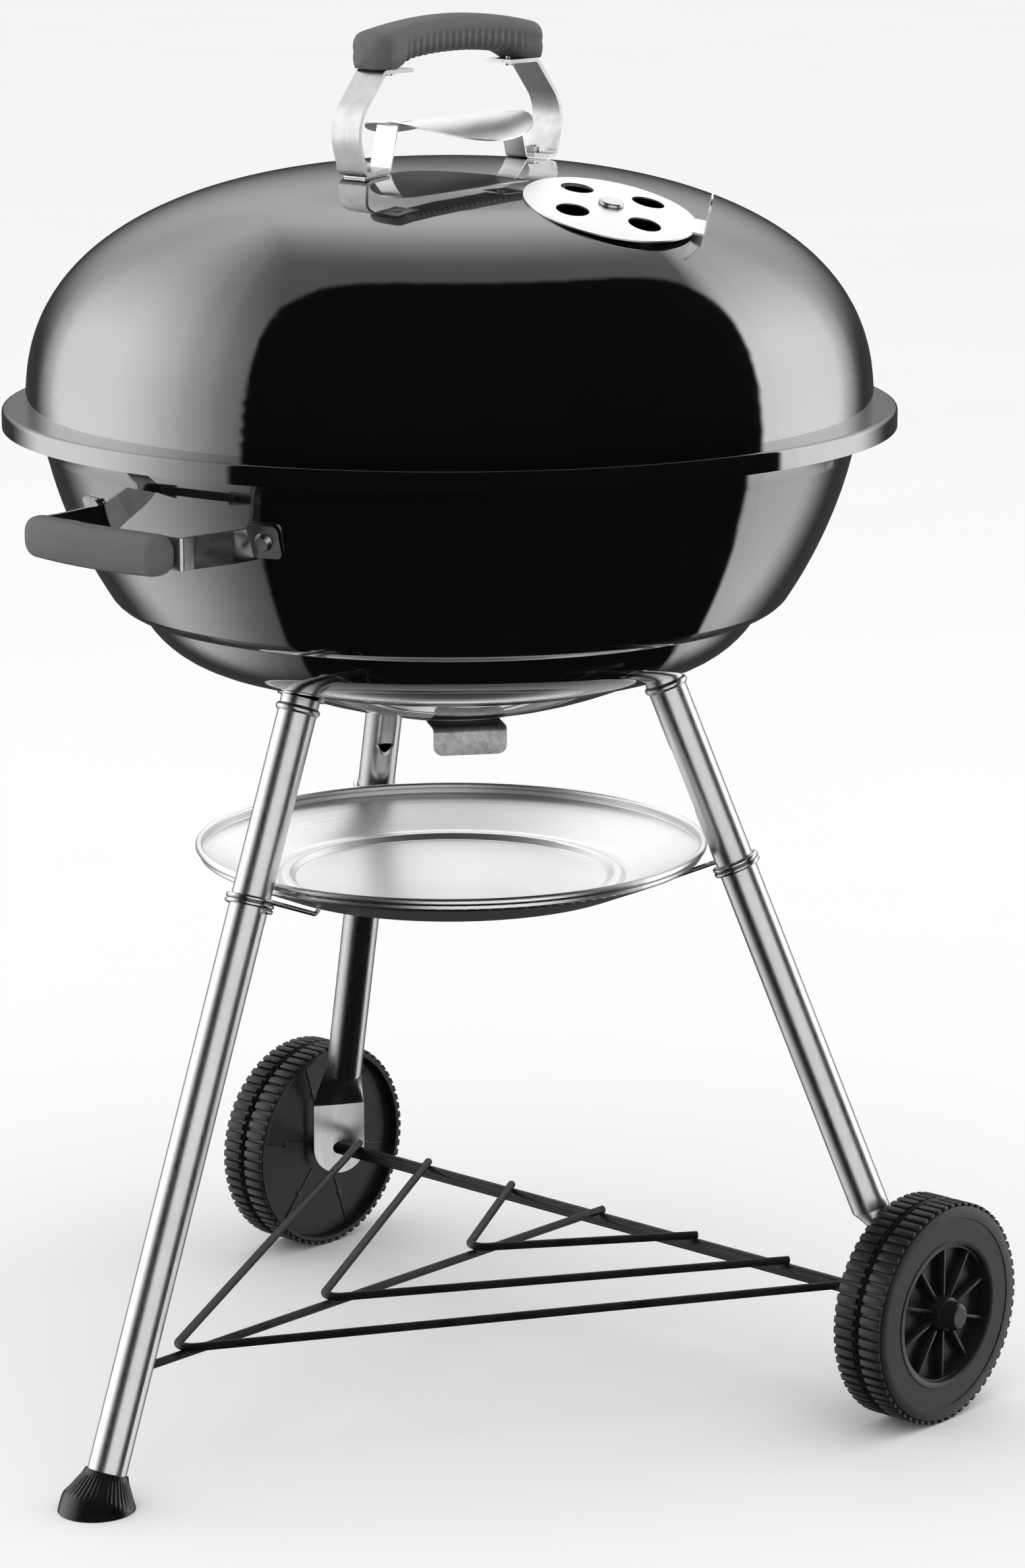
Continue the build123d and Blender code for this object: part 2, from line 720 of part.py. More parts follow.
with BuildPart() as bowl_handle_grip:
    with BuildSketch(Plane(origin=(-grip_half, bowl_grip_y, bowl_grip_z), z_dir=(1, 0, 0))):
        Circle(bowl_grip_radius)
    extrude(amount=bowl_grip_length)
    fillet(bowl_handle_grip.faces().filter_by(GeomType.PLANE).edges(), 5)
    with BuildSketch(Plane(origin=(0, flat_y, bowl_grip_z), x_dir=(1, 0, 0), z_dir=(0, 1, 0))):
        Rectangle(2 * bowl_grip_length, 4 * bowl_grip_radius)
    extrude(amount=bowl_grip_radius, mode=Mode.SUBTRACT)
    with BuildSketch(Plane(origin=(0, flat_y, bowl_grip_z), x_dir=(1, 0, 0), z_dir=(0, -1, 0))):
        with Locations((grip_screw_x, 0), (-grip_screw_x, 0)):
            Circle(screw_radius + push_fit)
    extrude(amount=screw_depth, mode=Mode.SUBTRACT)
save(bowl_handle_grip, "bowl_handle_grip")

with BuildPart() as bowl_grip_screws:
    for side in (-1, 1):
        screw_at = (grip_screw_x * side, flat_y, bowl_grip_z)
        screw_plane = Plane(origin=screw_at, x_dir=(1, 0, 0), z_dir=(0, -1, 0))
        screw_seat = strap_sheet + 2 * seat_gap
        with BuildSketch(screw_plane.offset(-screw_seat)):
            Circle(screw_head_radius)
        extrude(amount=-2)
        with BuildSketch(screw_plane.offset(-screw_seat)):
            Circle(screw_radius)
        extrude(amount=screw_seat + screw_depth - 1)
save(bowl_grip_screws, "bowl_grip_screws")

wall_clamp = strap_sheet + 2 * seat_gap
with BuildPart() as bowl_handle_bolts:
    for plane in bowl_foot_plane.values():
        add(bolt(plane, wall_clamp, -sheet - rest_gap - nut_height - 1))
save(bowl_handle_bolts, "bowl_handle_bolts")

with BuildPart() as bowl_handle_nuts:
    for plane in bowl_foot_plane.values():
        add(nut(plane, -sheet - rest_gap, -1))
save(bowl_handle_nuts, "bowl_handle_nuts")

# ---- bottom damper: a dished plate under the vents, turned by its bent-down tab ----
damper_skin = bottom_curve + rest_gap          # radius of the plate's upper face
curve_centre = rim_top - bottom_drop + bottom_curve


def damper_z(skin, r):
    return curve_centre - sqrt(skin**2 - r**2)


tab_root = sqrt(bottom_damper_radius**2 - bottom_tab_width**2 / 4) - 2
tab_z = damper_z(damper_skin + tray_sheet, tab_root) - 0.2 * tray_sheet
with BuildPart() as bottom_damper:
    with BuildSketch(profile_plane):
        with BuildLine():
            reaches = (0, bottom_damper_radius / 2, bottom_damper_radius)
            skins = [
                ThreePointArc(*[(r, damper_z(skin, r)) for r in reaches])
                for skin in (damper_skin, damper_skin + tray_sheet)
            ]
            Line(skins[0] @ 0, skins[1] @ 0)
            Line(skins[0] @ 1, skins[1] @ 1)
        make_face()
    revolve(axis=kettle_axis)
    add(
        sheet_strip(
            radial_plane(bottom_tab_azimuth),
            [(tab_root, tab_z), (bottom_tab_reach, tab_z), (bottom_tab_reach, tab_z - bottom_tab_drop)],
            [3],
            tray_sheet,
            bottom_tab_width,
        )
    )
    tab_edges = bottom_damper.edges().filter_by(lambda e: abs(e.length - tray_sheet) < 0.01)
    fillet(tab_edges.sort_by(Axis.Z)[:2], 6)
    with BuildSketch(Plane((0, kettle_y, rim_top - bottom_drop))):
        with PolarLocations(bottom_vent_reach, bottom_vents):
            Circle(vent_radius)
        Circle(rivet_radius + push_fit)
    extrude(amount=8, both=True, mode=Mode.SUBTRACT)
save(bottom_damper, "bottom_damper")

with BuildPart() as bottom_damper_rivet:
    rivet_low = curve_centre - damper_skin - tray_sheet - rest_gap
    rivet_high = rim_top - bottom_drop + sheet + seat_gap + (rivet_radius + 3) ** 2 / (2 * bottom_curve)
    with BuildSketch(Plane((0, kettle_y, rivet_low))):
        Circle(rivet_radius)
    extrude(amount=rivet_high - rivet_low)
    with BuildSketch(Plane((0, kettle_y, rivet_low))):
        Circle(rivet_radius + 4)
    extrude(amount=-2, taper=30)
    with BuildSketch(Plane((0, kettle_y, rivet_high))):
        Circle(rivet_radius + 3)
    extrude(amount=1.5)
save(bottom_damper_rivet, "bottom_damper_rivet")

# ================= grates =================


def round_grate(z, ring_radius, ring_wire, rod_wire, pitch, bar_wire):
    # a ring, parallel rods inside it and two crossing bars welded under the rods
    count = int(2 * (ring_radius - 2 * ring_wire) / pitch)
    bar_z, bar_y = z - 0.5 * (rod_wire + bar_wire), 0.55 * ring_radius
    bar_half = sqrt((ring_radius - 3 * ring_wire) ** 2 - bar_y**2)
    with BuildPart() as grate:
        with BuildSketch(Plane(origin=(0, kettle_y - ring_radius, z), x_dir=(1, 0, 0), z_dir=(0, 1, 0))):
            with GridLocations(pitch, 1, count, 1):
                Circle(rod_wire)
        extrude(amount=2 * ring_radius)
        with BuildSketch(Plane(origin=(-bar_half, kettle_y, bar_z), x_dir=(0, 1, 0), z_dir=(1, 0, 0))):
            with GridLocations(2 * bar_y, 1, 2, 1):
                Circle(bar_wire)
        extrude(amount=2 * bar_half)
        with BuildSketch(Plane((0, kettle_y, z))):
            Circle(ring_radius)
        extrude(amount=4 * ring_wire, both=True, mode=Mode.INTERSECT)
        with BuildSketch(profile_plane):
            with Locations((ring_radius, z)):
                Circle(ring_wire)
        revolve(axis=kettle_axis)
    return grate


cooking_grate = round_grate(grate_z, grate_ring_radius, grate_ring_wire, grate_rod_wire, grate_rod_pitch, 2.2)
save(cooking_grate, "cooking_grate")
coal_z = rim_top - ledge_drop + sheet + coal_rod_wire + rest_gap
charcoal_grate = round_grate(coal_z, coal_ring_radius, coal_rod_wire, coal_rod_wire, coal_rod_pitch, 2.8)
save(charcoal_grate, "charcoal_grate")

# ================= legs and foot =================
dent_offset = tube_radius + dent_radius - dent_depth
dent_top_z, dent_bottom_z = rim_top - dent_top_drop, rim_top - dent_bottom_drop


def dent_tool(azimuth, radius):
    # a round-ended bar lying along the inner side of the leg
    plane = leg_plane(azimuth, dent_top_z)
    start = Plane(plane.from_local_coords(Vector(0, -dent_offset, 0)), plane.x_dir, plane.z_dir)
    length = (dent_top_z - dent_bottom_z) / cos(radians(leg_splay(azimuth)))
    with BuildPart() as tool:
        with BuildSketch(Plane(start.origin, x_dir=start.y_dir, z_dir=start.x_dir)):
            with BuildLine():
                Polyline((0, 0), (0, length), (radius, length - 2 * radius), (radius, 2 * radius), (0, 0))
            make_face()
        revolve(axis=Axis(start.origin, start.z_dir))
    return tool.part


def leg_tube(azimuth, low_z):
    upright = cos(radians(leg_splay(azimuth)))
    leg_top = mouth_z + pocket_depth * upright
    length = (leg_top - low_z) / upright
    with BuildPart() as bore:
        add(leg_round(tube_radius - tube_wall, azimuth, leg_top, length))
        add(dent_tool(azimuth, dent_radius + tube_wall), mode=Mode.SUBTRACT)
    with BuildPart() as tube:
        add(leg_round(tube_radius, azimuth, leg_top, length))
        add(dent_tool(azimuth, dent_radius), mode=Mode.SUBTRACT)
        add(bore.part, mode=Mode.SUBTRACT)
        # swaged bead just under the socket
        ring = leg_plane(azimuth, mouth_z - bead_drop)
        with BuildSketch(Plane(ring.origin, x_dir=ring.y_dir, z_dir=-ring.x_dir)):
            with Locations((tube_radius - tube_wall / 2, 0)):
                Ellipse(bead_swell + tube_wall / 2, 2.6)
        revolve(axis=Axis(ring.origin, ring.z_dir))
    return tube


def wheel_leg(azimuth):
    a = radians(azimuth)
    outward, around = Vector(cos(a), sin(a), 0), Vector(-sin(a), cos(a), 0)
    kettle = Vector(0, kettle_y, 0)
    top = leg_plane(azimuth, crimp_top)
    middle_z = (crimp_top + plate_top) / 2
    middle_reach = leg_reach(azimuth, middle_z) + 0.3 * tube_radius
    tilt = radians(wheel_splay / 2)
    with BuildPart() as leg:
        add(leg_tube(azimuth, crimp_top).part)
        # the tube is pressed flat towards its outer side
        with BuildSketch(top):
            Circle(tube_radius)
        with BuildSketch(
            Plane(
                kettle + outward * middle_reach + Vector(0, 0, middle_z),
                x_dir=around,
                z_dir=outward * sin(tilt) - Vector(0, 0, cos(tilt)),
            )
        ):
            Ellipse(0.86 * plate_half_width, 0.5 * tube_radius)
        with BuildSketch(
            Plane(kettle + outward * plate_reach + Vector(0, 0, plate_top), x_dir=around, z_dir=(0, 0, -1))
        ):
            Ellipse(plate_half_width, plate_thickness * 0.55)
        loft()
        plate = Plane(kettle + outward * (plate_reach - plate_thickness / 2), x_dir=around, z_dir=outward)
        with BuildSketch(plate):
            with Locations((0, wheel_z)):
                Circle(plate_half_width)
            with Locations((0, (wheel_z + plate_top) / 2)):
                Rectangle(2 * plate_half_width, plate_top - wheel_z)
        extrude(amount=plate_thickness)
        with BuildSketch(Plane(origin=(0, axle_y, wheel_z), z_dir=(1, 0, 0))):
            Circle(axle_radius + push_fit)
        extrude(amount=wheel_radius * 5, both=True, mode=Mode.SUBTRACT)
    return leg


rack_z = wheel_z + axle_radius + rack_wire + seat_gap      # the straight wire lies on the axle
rack_end_y = kettle_y - leg_reach(foot_azimuth, rack_z) + 2
rack_plane = Plane(origin=(0, rack_end_y, rack_z), x_dir=(1, 0, 0), z_dir=(0, 1, 0))
with BuildPart() as front_leg:
    add(leg_tube(foot_azimuth, boot_floor).part)
    with BuildSketch(rack_plane.offset(-1)):
        Circle(rack_wire + push_fit)
    extrude(amount=3 * tube_radius, mode=Mode.SUBTRACT)
save(front_leg, "front_leg")
save(wheel_leg(leg_azimuths["right"]), "right_wheel_leg")
save(wheel_leg(leg_azimuths["left"]), "left_wheel_leg")

with BuildPart() as foot_boot:
    boot_length = boot_top / cos(radians(front_splay))
    axis_plane = leg_plane(foot_azimuth, boot_top)
    with BuildSketch(Plane(axis_plane.origin, x_dir=axis_plane.y_dir, z_dir=axis_plane.x_dir)):
        with BuildLine():
            Polyline(
                (0, 0),
                (boot_collar, 0),
                (boot_collar, 2),
                (boot_radius, boot_cone),
                (boot_radius, boot_length + boot_radius),
                (0, boot_length + boot_radius),
                (0, 0),
            )
        face = make_face()
        fillet(face.vertices().sort_by(Axis.X)[-2:].sort_by(Axis.Y)[:1], 6)
    revolve(axis=Axis(axis_plane.origin, axis_plane.z_dir))
    with BuildSketch(Plane.XY):
        with Locations((0, kettle_y - leg_reach(foot_azimuth, 0))):
            Rectangle(6 * boot_radius, 6 * boot_radius)
    extrude(amount=-3 * boot_radius, mode=Mode.SUBTRACT)
    chamfer(foot_boot.faces().sort_by(Axis.Z)[0].edges(), 1.2)
    bore_length = (boot_top + 6 - boot_floor) / cos(radians(front_splay))
    add(leg_round(tube_radius + push_fit, foot_azimuth, boot_top + 6, bore_length), mode=Mode.SUBTRACT)
save(foot_boot, "foot_boot")

# ================= axle, rack and wheels =================
wheel_inner_x = plate_x + wheel_face_gap
wheel_outer_x = wheel_inner_x + wheel_width
hub_inner_x, hub_outer_x = plate_x + hub_wall_gap, wheel_outer_x + 1.5
cap_x = hub_outer_x + rest_gap
axle_end_x = cap_x + cap_length - 2
stop_length, stop_width, stop_thickness = 14.0, 15.0, 4.0

with BuildPart() as axle:
    with BuildSketch(Plane(origin=(-axle_end_x, axle_y, wheel_z), z_dir=(1, 0, 0))):
        Circle(axle_radius)
    extrude(amount=2 * axle_end_x)
    # pressed ears that keep the axle centred between the legs
    for side in (-1, 1):
        ear_x = side * (plate_x - 14 - stop_length / 2)
        with BuildSketch(Plane(origin=(ear_x, axle_y, wheel_z - stop_thickness / 2), z_dir=(0, 0, 1))):
            RectangleRounded(stop_length, stop_width, 5)
        extrude(amount=stop_thickness)
save(axle, "axle")

with BuildPart() as hub_cap_right:
    with BuildSketch(Plane(origin=(cap_x, axle_y, wheel_z), z_dir=(1, 0, 0))):
        Circle(cap_radius)
    extrude(amount=cap_length)
    fillet(hub_cap_right.edges().sort_by(Axis.X)[-1:], 3.5)
    with BuildSketch(Plane(origin=(cap_x, axle_y, wheel_z), z_dir=(1, 0, 0))):
        Circle(axle_radius)
    extrude(amount=axle_end_x - cap_x, mode=Mode.SUBTRACT)
save(hub_cap_right, "hub_cap_right")
with BuildPart() as hub_cap_left:
    mirror(hub_cap_right.part, about=Plane.YZ)
save(hub_cap_left, "hub_cap_left")

wheel_profile = Plane(origin=(wheel_inner_x, axle_y, wheel_z), x_dir=(1, 0, 0), z_dir=(0, -1, 0))
tread_base = wheel_radius - tread_depth
tread_wall, face_wall, web_wall = 3.2, 2.6, 2.5
web_at, back_wall = 26.0, 2.5
hub_start, hub_end = hub_inner_x - wheel_inner_x, hub_outer_x - wheel_inner_x


def ring_section(start, end, inner, outer):
    # a rectangle across the wheel: start and end along the axle, inner and outer radius
    with BuildSketch(mode=Mode.PRIVATE) as section:
        with Locations(((start + end) / 2, (inner + outer) / 2)):
            Rectangle(end - start, outer - inner)
    return section.sketch


with BuildPart() as wheel_right:
    with BuildSketch(wheel_profile):
        add(ring_section(0, wheel_width, tread_base - tread_wall, tread_base))
        add(ring_section(wheel_width - face_wall, wheel_width, face_inner_radius, tread_base))
        add(ring_section(web_at, wheel_width, face_inner_radius - web_wall, face_inner_radius))
        add(ring_section(web_at, web_at + web_wall, hub_radius - 1, face_inner_radius))
        add(ring_section(hub_start, hub_end, axle_radius + push_fit, hub_radius))
    revolve(axis=axle_line)
    # spokes of the hollow front
    spoke_middle = (hub_radius + face_inner_radius) / 2
    with BuildSketch(Plane(origin=(wheel_inner_x + web_at + 1, axle_y, wheel_z), z_dir=(1, 0, 0))):
        with PolarLocations(spoke_middle, spoke_count):
            Rectangle(face_inner_radius - hub_radius + 1, 2.4)
    extrude(amount=wheel_width - web_at - 5)
    # two staggered rows of lugs with a rib between them
    lug_step = 360 / lug_count
    lug_width = lug_share * wheel_radius * radians(lug_step)
    lug_top = sqrt(wheel_radius**2 - lug_width**2 / 4)
    lug_height = lug_top - tread_base + 0.6
    row_width = wheel_width / 2 - 2
    for start, turn in ((0, 0), (wheel_width - row_width, lug_step / 2)):
        with BuildSketch(Plane(origin=(wheel_inner_x + start, axle_y, wheel_z), z_dir=(1, 0, 0))):
            with PolarLocations(lug_top - lug_height / 2, lug_count, start_angle=turn):
                Rectangle(lug_height, lug_width)
        extrude(amount=row_width)
    with BuildSketch(wheel_profile):
        add(ring_section(wheel_width / 2 - 1, wheel_width / 2 + 1, tread_base - 1, wheel_radius - 0.3))
    revolve(axis=axle_line)
save(wheel_right, "wheel_right")
with BuildPart() as wheel_left:
    mirror(wheel_right.part, about=Plane.YZ)
save(wheel_left, "wheel_left")

with BuildPart() as wheel_back_right:
    back_radius = tread_base - tread_wall - push_fit
    with BuildSketch(wheel_profile):
        add(ring_section(back_recess, back_recess + back_wall, hub_radius + push_fit, back_radius))
    revolve(axis=axle_line)
save(wheel_back_right, "wheel_back_right")
with BuildPart() as wheel_back_left:
    mirror(wheel_back_right.part, about=Plane.YZ)
save(wheel_back_left, "wheel_back_left")


def wire(points, radii, radius):
    with BuildPart() as piece:
        with BuildLine() as path:
            FilletPolyline(*points, radius=radii)
        with BuildSketch(Plane(origin=path.line @ 0, z_dir=path.line % 0)):
            Circle(radius)
        sweep(path=path.line)
    return piece


rack_step = 2 * rack_wire + seat_gap
for name, (half_span, apex_from_end) in rack_lines.items():
    apex_y = rack_end_y + apex_from_end
    run = axle_y - apex_y
    bend_inset = rack_bend * (sqrt(half_span**2 + run**2) / half_span - 1)
    apex_z = rack_z + rack_step * run / (run - bend_inset)
    ends = [(side * half_span, axle_y, rack_z) for side in (-1, 1)]
    rack_v = wire([ends[0], (0, apex_y, apex_z), ends[1]], [rack_bend], rack_wire)
    save(rack_v, f"rack_wire_{name}")

with BuildPart() as rack_wire_center:
    with BuildSketch(rack_plane):
        Circle(rack_wire)
    extrude(amount=axle_y - rack_end_y)
save(rack_wire_center, "rack_wire_center")

# ================= ash tray and its clips =================
tray_floor = tray_top - tray_depth
bead = 2.4
with BuildPart() as ash_tray:
    with BuildSketch(profile_plane):
        with BuildLine():
            FilletPolyline(
                (0, tray_floor),
                (groove_radius - 6, tray_floor),
                (groove_radius - 2, tray_floor + 4),
                (groove_radius + 2, tray_floor + 4),
                (groove_radius + 6, tray_floor),
                (groove_radius + 14, tray_floor + 1),
                (tray_radius - 14, tray_top - tray_lip - 5),
                (tray_radius - bead, tray_top - tray_lip),
                (tray_radius - bead, tray_top - bead),
                radius=[3, 1.5, 1.5, 3, 20, 12, 2],
            )
            offset(amount=tray_sheet, side=Side.LEFT)
        make_face()
        with Locations((tray_radius - bead, tray_top - bead)):
            Circle(bead)
    revolve(axis=kettle_axis)
save(ash_tray, "ash_tray")


def tray_underside(r):
    # height of the dish's lower face on its sloping part
    low, high = (groove_radius + 14, tray_floor + 1), (tray_radius - 14, tray_top - tray_lip - 5)
    return low[1] + (high[1] - low[1]) * (r - low[0]) / (high[0] - low[0])


def tray_clip(azimuth):
    coil_radius = tube_radius + clip_wire + push_fit
    coil_plane = leg_plane(azimuth, tray_top - clip_drop)
    coil_pitch = 2 * clip_wire + 2 * push_fit
    start = coil_plane.from_local_coords(Vector(coil_radius, 0, 0))
    elbow = coil_plane.from_local_coords(Vector(coil_radius, -clip_arm, 0))
    a = radians(azimuth)
    inward = Vector(-cos(a), -sin(a), 0)
    tip = elbow + inward * 3
    tip_reach = (tip - Vector(0, kettle_y, tip.Z)).length
    tip = Vector(tip.X, tip.Y, tray_underside(tip_reach) - rest_gap - 0.5 * clip_wire)
    coil = Helix(coil_pitch, clip_turns * coil_pitch, coil_radius).moved(coil_plane.location)
    with BuildPart() as clip:
        with BuildSketch(Plane(origin=coil @ 0, x_dir=coil_plane.x_dir, z_dir=coil % 0)):
            Circle(clip_wire)
        sweep(path=coil, is_frenet=True)
        # the arm is a hair thinner, so that the two round bars don't share a face where they join
        add(wire([start + coil_plane.y_dir, elbow, tip], [3], clip_wire - push_fit).part)
    return clip


for name, azimuth in leg_azimuths.items():
    clip = tray_clip(azimuth)
    save(clip, f"tray_clip_{name}")
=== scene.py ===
import bmesh
import bpy
import json
from math import atan2, cos, pi, radians, sin, sqrt
from mathutils import Matrix, Vector


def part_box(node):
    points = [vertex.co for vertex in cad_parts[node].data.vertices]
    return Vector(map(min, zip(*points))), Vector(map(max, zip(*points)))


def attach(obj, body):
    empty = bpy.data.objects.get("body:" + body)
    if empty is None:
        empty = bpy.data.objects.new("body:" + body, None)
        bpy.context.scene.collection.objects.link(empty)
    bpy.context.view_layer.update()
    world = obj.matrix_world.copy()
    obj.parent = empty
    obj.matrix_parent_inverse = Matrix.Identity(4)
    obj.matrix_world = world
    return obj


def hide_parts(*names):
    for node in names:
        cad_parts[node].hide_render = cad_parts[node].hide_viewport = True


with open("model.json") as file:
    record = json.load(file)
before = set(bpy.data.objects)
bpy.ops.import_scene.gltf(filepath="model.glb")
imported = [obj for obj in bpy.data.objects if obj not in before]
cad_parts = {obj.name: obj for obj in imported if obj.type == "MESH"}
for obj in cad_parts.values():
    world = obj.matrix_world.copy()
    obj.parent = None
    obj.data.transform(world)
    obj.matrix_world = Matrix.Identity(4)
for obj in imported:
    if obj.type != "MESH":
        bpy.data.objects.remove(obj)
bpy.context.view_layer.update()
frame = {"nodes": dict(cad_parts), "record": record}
nodes = frame["nodes"]
print("frame loaded:", len(nodes), "nodes")

# places read from the frame
lidLow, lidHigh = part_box("lid_shell")
kettleY = (lidLow.y + lidHigh.y) / 2
wheelLow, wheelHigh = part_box("wheel_right")
axleY, axleZ = (wheelLow.y + wheelHigh.y) / 2, (wheelLow.z + wheelHigh.z) / 2
backLow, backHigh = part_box("wheel_back_right")


def legLine(node, ringHeight=0.012):
    # where a leg's middle line starts and which way it runs, from the outline of the tube's two ends
    points = [v.co for v in nodes[node].data.vertices]
    top, bottom = max(p.z for p in points), min(p.z for p in points)
    ends = []
    for ring in ([p for p in points if p.z > top - ringHeight], [p for p in points if p.z < bottom + ringHeight]):
        ends.append(Vector([(min(p[i] for p in ring) + max(p[i] for p in ring)) / 2 for i in range(3)]))
    return ends[0], (ends[1] - ends[0]).normalized()


# small helpers


def finish(bm, name, body, material, replaced=(), smooth=0.6):
    # turn a mesh in the making into a finished piece that rides on a body
    bmesh.ops.recalc_face_normals(bm, faces=bm.faces)
    mesh = bpy.data.meshes.new(name)
    bm.to_mesh(mesh)
    bm.free()
    for face in mesh.polygons:
        face.use_smooth = True
    mesh.set_sharp_from_angle(angle=smooth)
    piece = bpy.data.objects.new(name, mesh)
    bpy.context.scene.collection.objects.link(piece)
    mesh.materials.append(material)
    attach(piece, body)
    if replaced:
        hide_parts(*replaced)
    return piece


def spinProfile(bm, points, origin, axis, across, steps):
    # a closed outline, given as (along the axis, radius), turned about the axis
    verts = [bm.verts.new(origin + axis * along + across * radius) for along, radius in points]
    edges = [bm.edges.new(pair) for pair in zip(verts, verts[1:] + verts[:1])]
    turnLine(bm, verts + edges, origin, axis, steps)


def turnLine(bm, line, origin, axis, steps):
    bmesh.ops.spin(bm, geom=line, cent=origin, axis=axis, dvec=(0, 0, 0), angle=2 * pi, steps=steps, use_merge=True)
    bmesh.ops.remove_doubles(bm, verts=bm.verts, dist=1e-6)


def turnedBar(bm, axis, halfLength, design):
    # a straight bar of radius 1 round an axis, with rounded ends, ready to be shaped
    across = Vector((0, 0, 1))
    verts = []
    for k in range(design["stations"] + 1):
        along = halfLength * (-1 + 2 * k / design["stations"])
        inset = max(0, 1 - (halfLength - abs(along)) / design["endRound"])
        verts.append(bm.verts.new(axis * along + across * sqrt(max(0, 1 - inset**2))))
    edges = [bm.edges.new(pair) for pair in zip(verts[:-1], verts[1:])]
    turnLine(bm, verts + edges, (0, 0, 0), axis, design["around"])


def squared(value, power):
    # a sine or cosine pushed outwards, which squares a round section
    return abs(value) ** power * (1 if value >= 0 else -1)


def limit(value):
    return max(0, min(1, value))


def addBlock(bm, size, place, bevel):
    made = bmesh.ops.create_cube(bm, size=1, matrix=place @ Matrix.Diagonal((*size, 1)))
    edges = list({edge for vert in made["verts"] for edge in vert.link_edges})
    bmesh.ops.bevel(
        bm, geom=edges, offset=bevel, offset_type="OFFSET", segments=2, profile=0.5, affect="EDGES", material=-1
    )


# shader groups shared by the materials


def newGroup(name, inputs, outputs):
    tree = bpy.data.node_groups.new(name, "ShaderNodeTree")
    for label, kind, value in inputs:
        socket = tree.interface.new_socket(label, in_out="INPUT", socket_type=kind)
        socket.default_value = value
    for label, kind in outputs:
        tree.interface.new_socket(label, in_out="OUTPUT", socket_type=kind)
    return tree, tree.nodes.new("NodeGroupInput"), tree.nodes.new("NodeGroupOutput")


def addNode(tree, kind, settings=None, values=None):
    node = tree.nodes.new(kind)
    for key, value in (settings or {}).items():
        setattr(node, key, value)
    for key, value in (values or {}).items():
        node.inputs[key].default_value = value
    return node


floatKind, colorKind, vectorKind = "NodeSocketFloat", "NodeSocketColor", "NodeSocketVector"


def makeEdgeWear():
    # convex edges rubbed a little lighter, broken up by noise
    tree, into, out = newGroup(
        "edgeWear",
        [("Color", colorKind, (0.5, 0.5, 0.5, 1)), ("Worn Color", colorKind, (1, 1, 1, 1)), ("Amount", floatKind, 0.3)],
        [("Color", colorKind), ("Wear", floatKind)],
    )
    geometry = addNode(tree, "ShaderNodeNewGeometry")
    coords = addNode(tree, "ShaderNodeTexCoord")
    noise = addNode(tree, "ShaderNodeTexNoise", values={"Scale": 90.0, "Detail": 4.0, "Roughness": 0.6})
    edge = addNode(tree, "ShaderNodeMapRange", values={"From Min": 0.53, "From Max": 0.62})
    spread = addNode(tree, "ShaderNodeMapRange", values={"From Min": 0.35, "From Max": 0.7})
    both = addNode(tree, "ShaderNodeMath", {"operation": "MULTIPLY"})
    scaled = addNode(tree, "ShaderNodeMath", {"operation": "MULTIPLY", "use_clamp": True})
    mix = addNode(tree, "ShaderNodeMix", {"data_type": "RGBA"})
    tree.links.new(geometry.outputs["Pointiness"], edge.inputs["Value"])
    tree.links.new(coords.outputs["Object"], noise.inputs["Vector"])
    tree.links.new(noise.outputs["Fac"], spread.inputs["Value"])
    tree.links.new(edge.outputs["Result"], both.inputs[0])
    tree.links.new(spread.outputs["Result"], both.inputs[1])
    tree.links.new(both.outputs["Value"], scaled.inputs[0])
    tree.links.new(into.outputs["Amount"], scaled.inputs[1])
    tree.links.new(scaled.outputs["Value"], mix.inputs["Factor"])
    tree.links.new(into.outputs["Color"], mix.inputs["A"])
    tree.links.new(into.outputs["Worn Color"], mix.inputs["B"])
    tree.links.new(mix.outputs["Result"], out.inputs["Color"])
    tree.links.new(scaled.outputs["Value"], out.inputs["Wear"])
    return tree


def makeFineGrain():
    # a fine random surface: a height for roughness and a bumped normal
    tree, into, out = newGroup(
        "fineGrain",
        [
            ("Scale", floatKind, 400.0),
            ("Strength", floatKind, 0.1),
            ("Depth", floatKind, 0.0002),
            ("Stretch", vectorKind, (1, 1, 1)),
        ],
        [("Height", floatKind), ("Normal", vectorKind)],
    )
    coords = addNode(tree, "ShaderNodeTexCoord")
    stretch = addNode(tree, "ShaderNodeVectorMath", {"operation": "MULTIPLY"})
    noise = addNode(tree, "ShaderNodeTexNoise", values={"Detail": 5.0, "Roughness": 0.55})
    bump = addNode(tree, "ShaderNodeBump")
    tree.links.new(coords.outputs["Object"], stretch.inputs[0])
    tree.links.new(into.outputs["Stretch"], stretch.inputs[1])
    tree.links.new(stretch.outputs["Vector"], noise.inputs["Vector"])
    tree.links.new(into.outputs["Scale"], noise.inputs["Scale"])
    tree.links.new(noise.outputs["Fac"], bump.inputs["Height"])
    tree.links.new(into.outputs["Strength"], bump.inputs["Strength"])
    tree.links.new(into.outputs["Depth"], bump.inputs["Distance"])
    tree.links.new(noise.outputs["Fac"], out.inputs["Height"])
    tree.links.new(bump.outputs["Normal"], out.inputs["Normal"])
    return tree


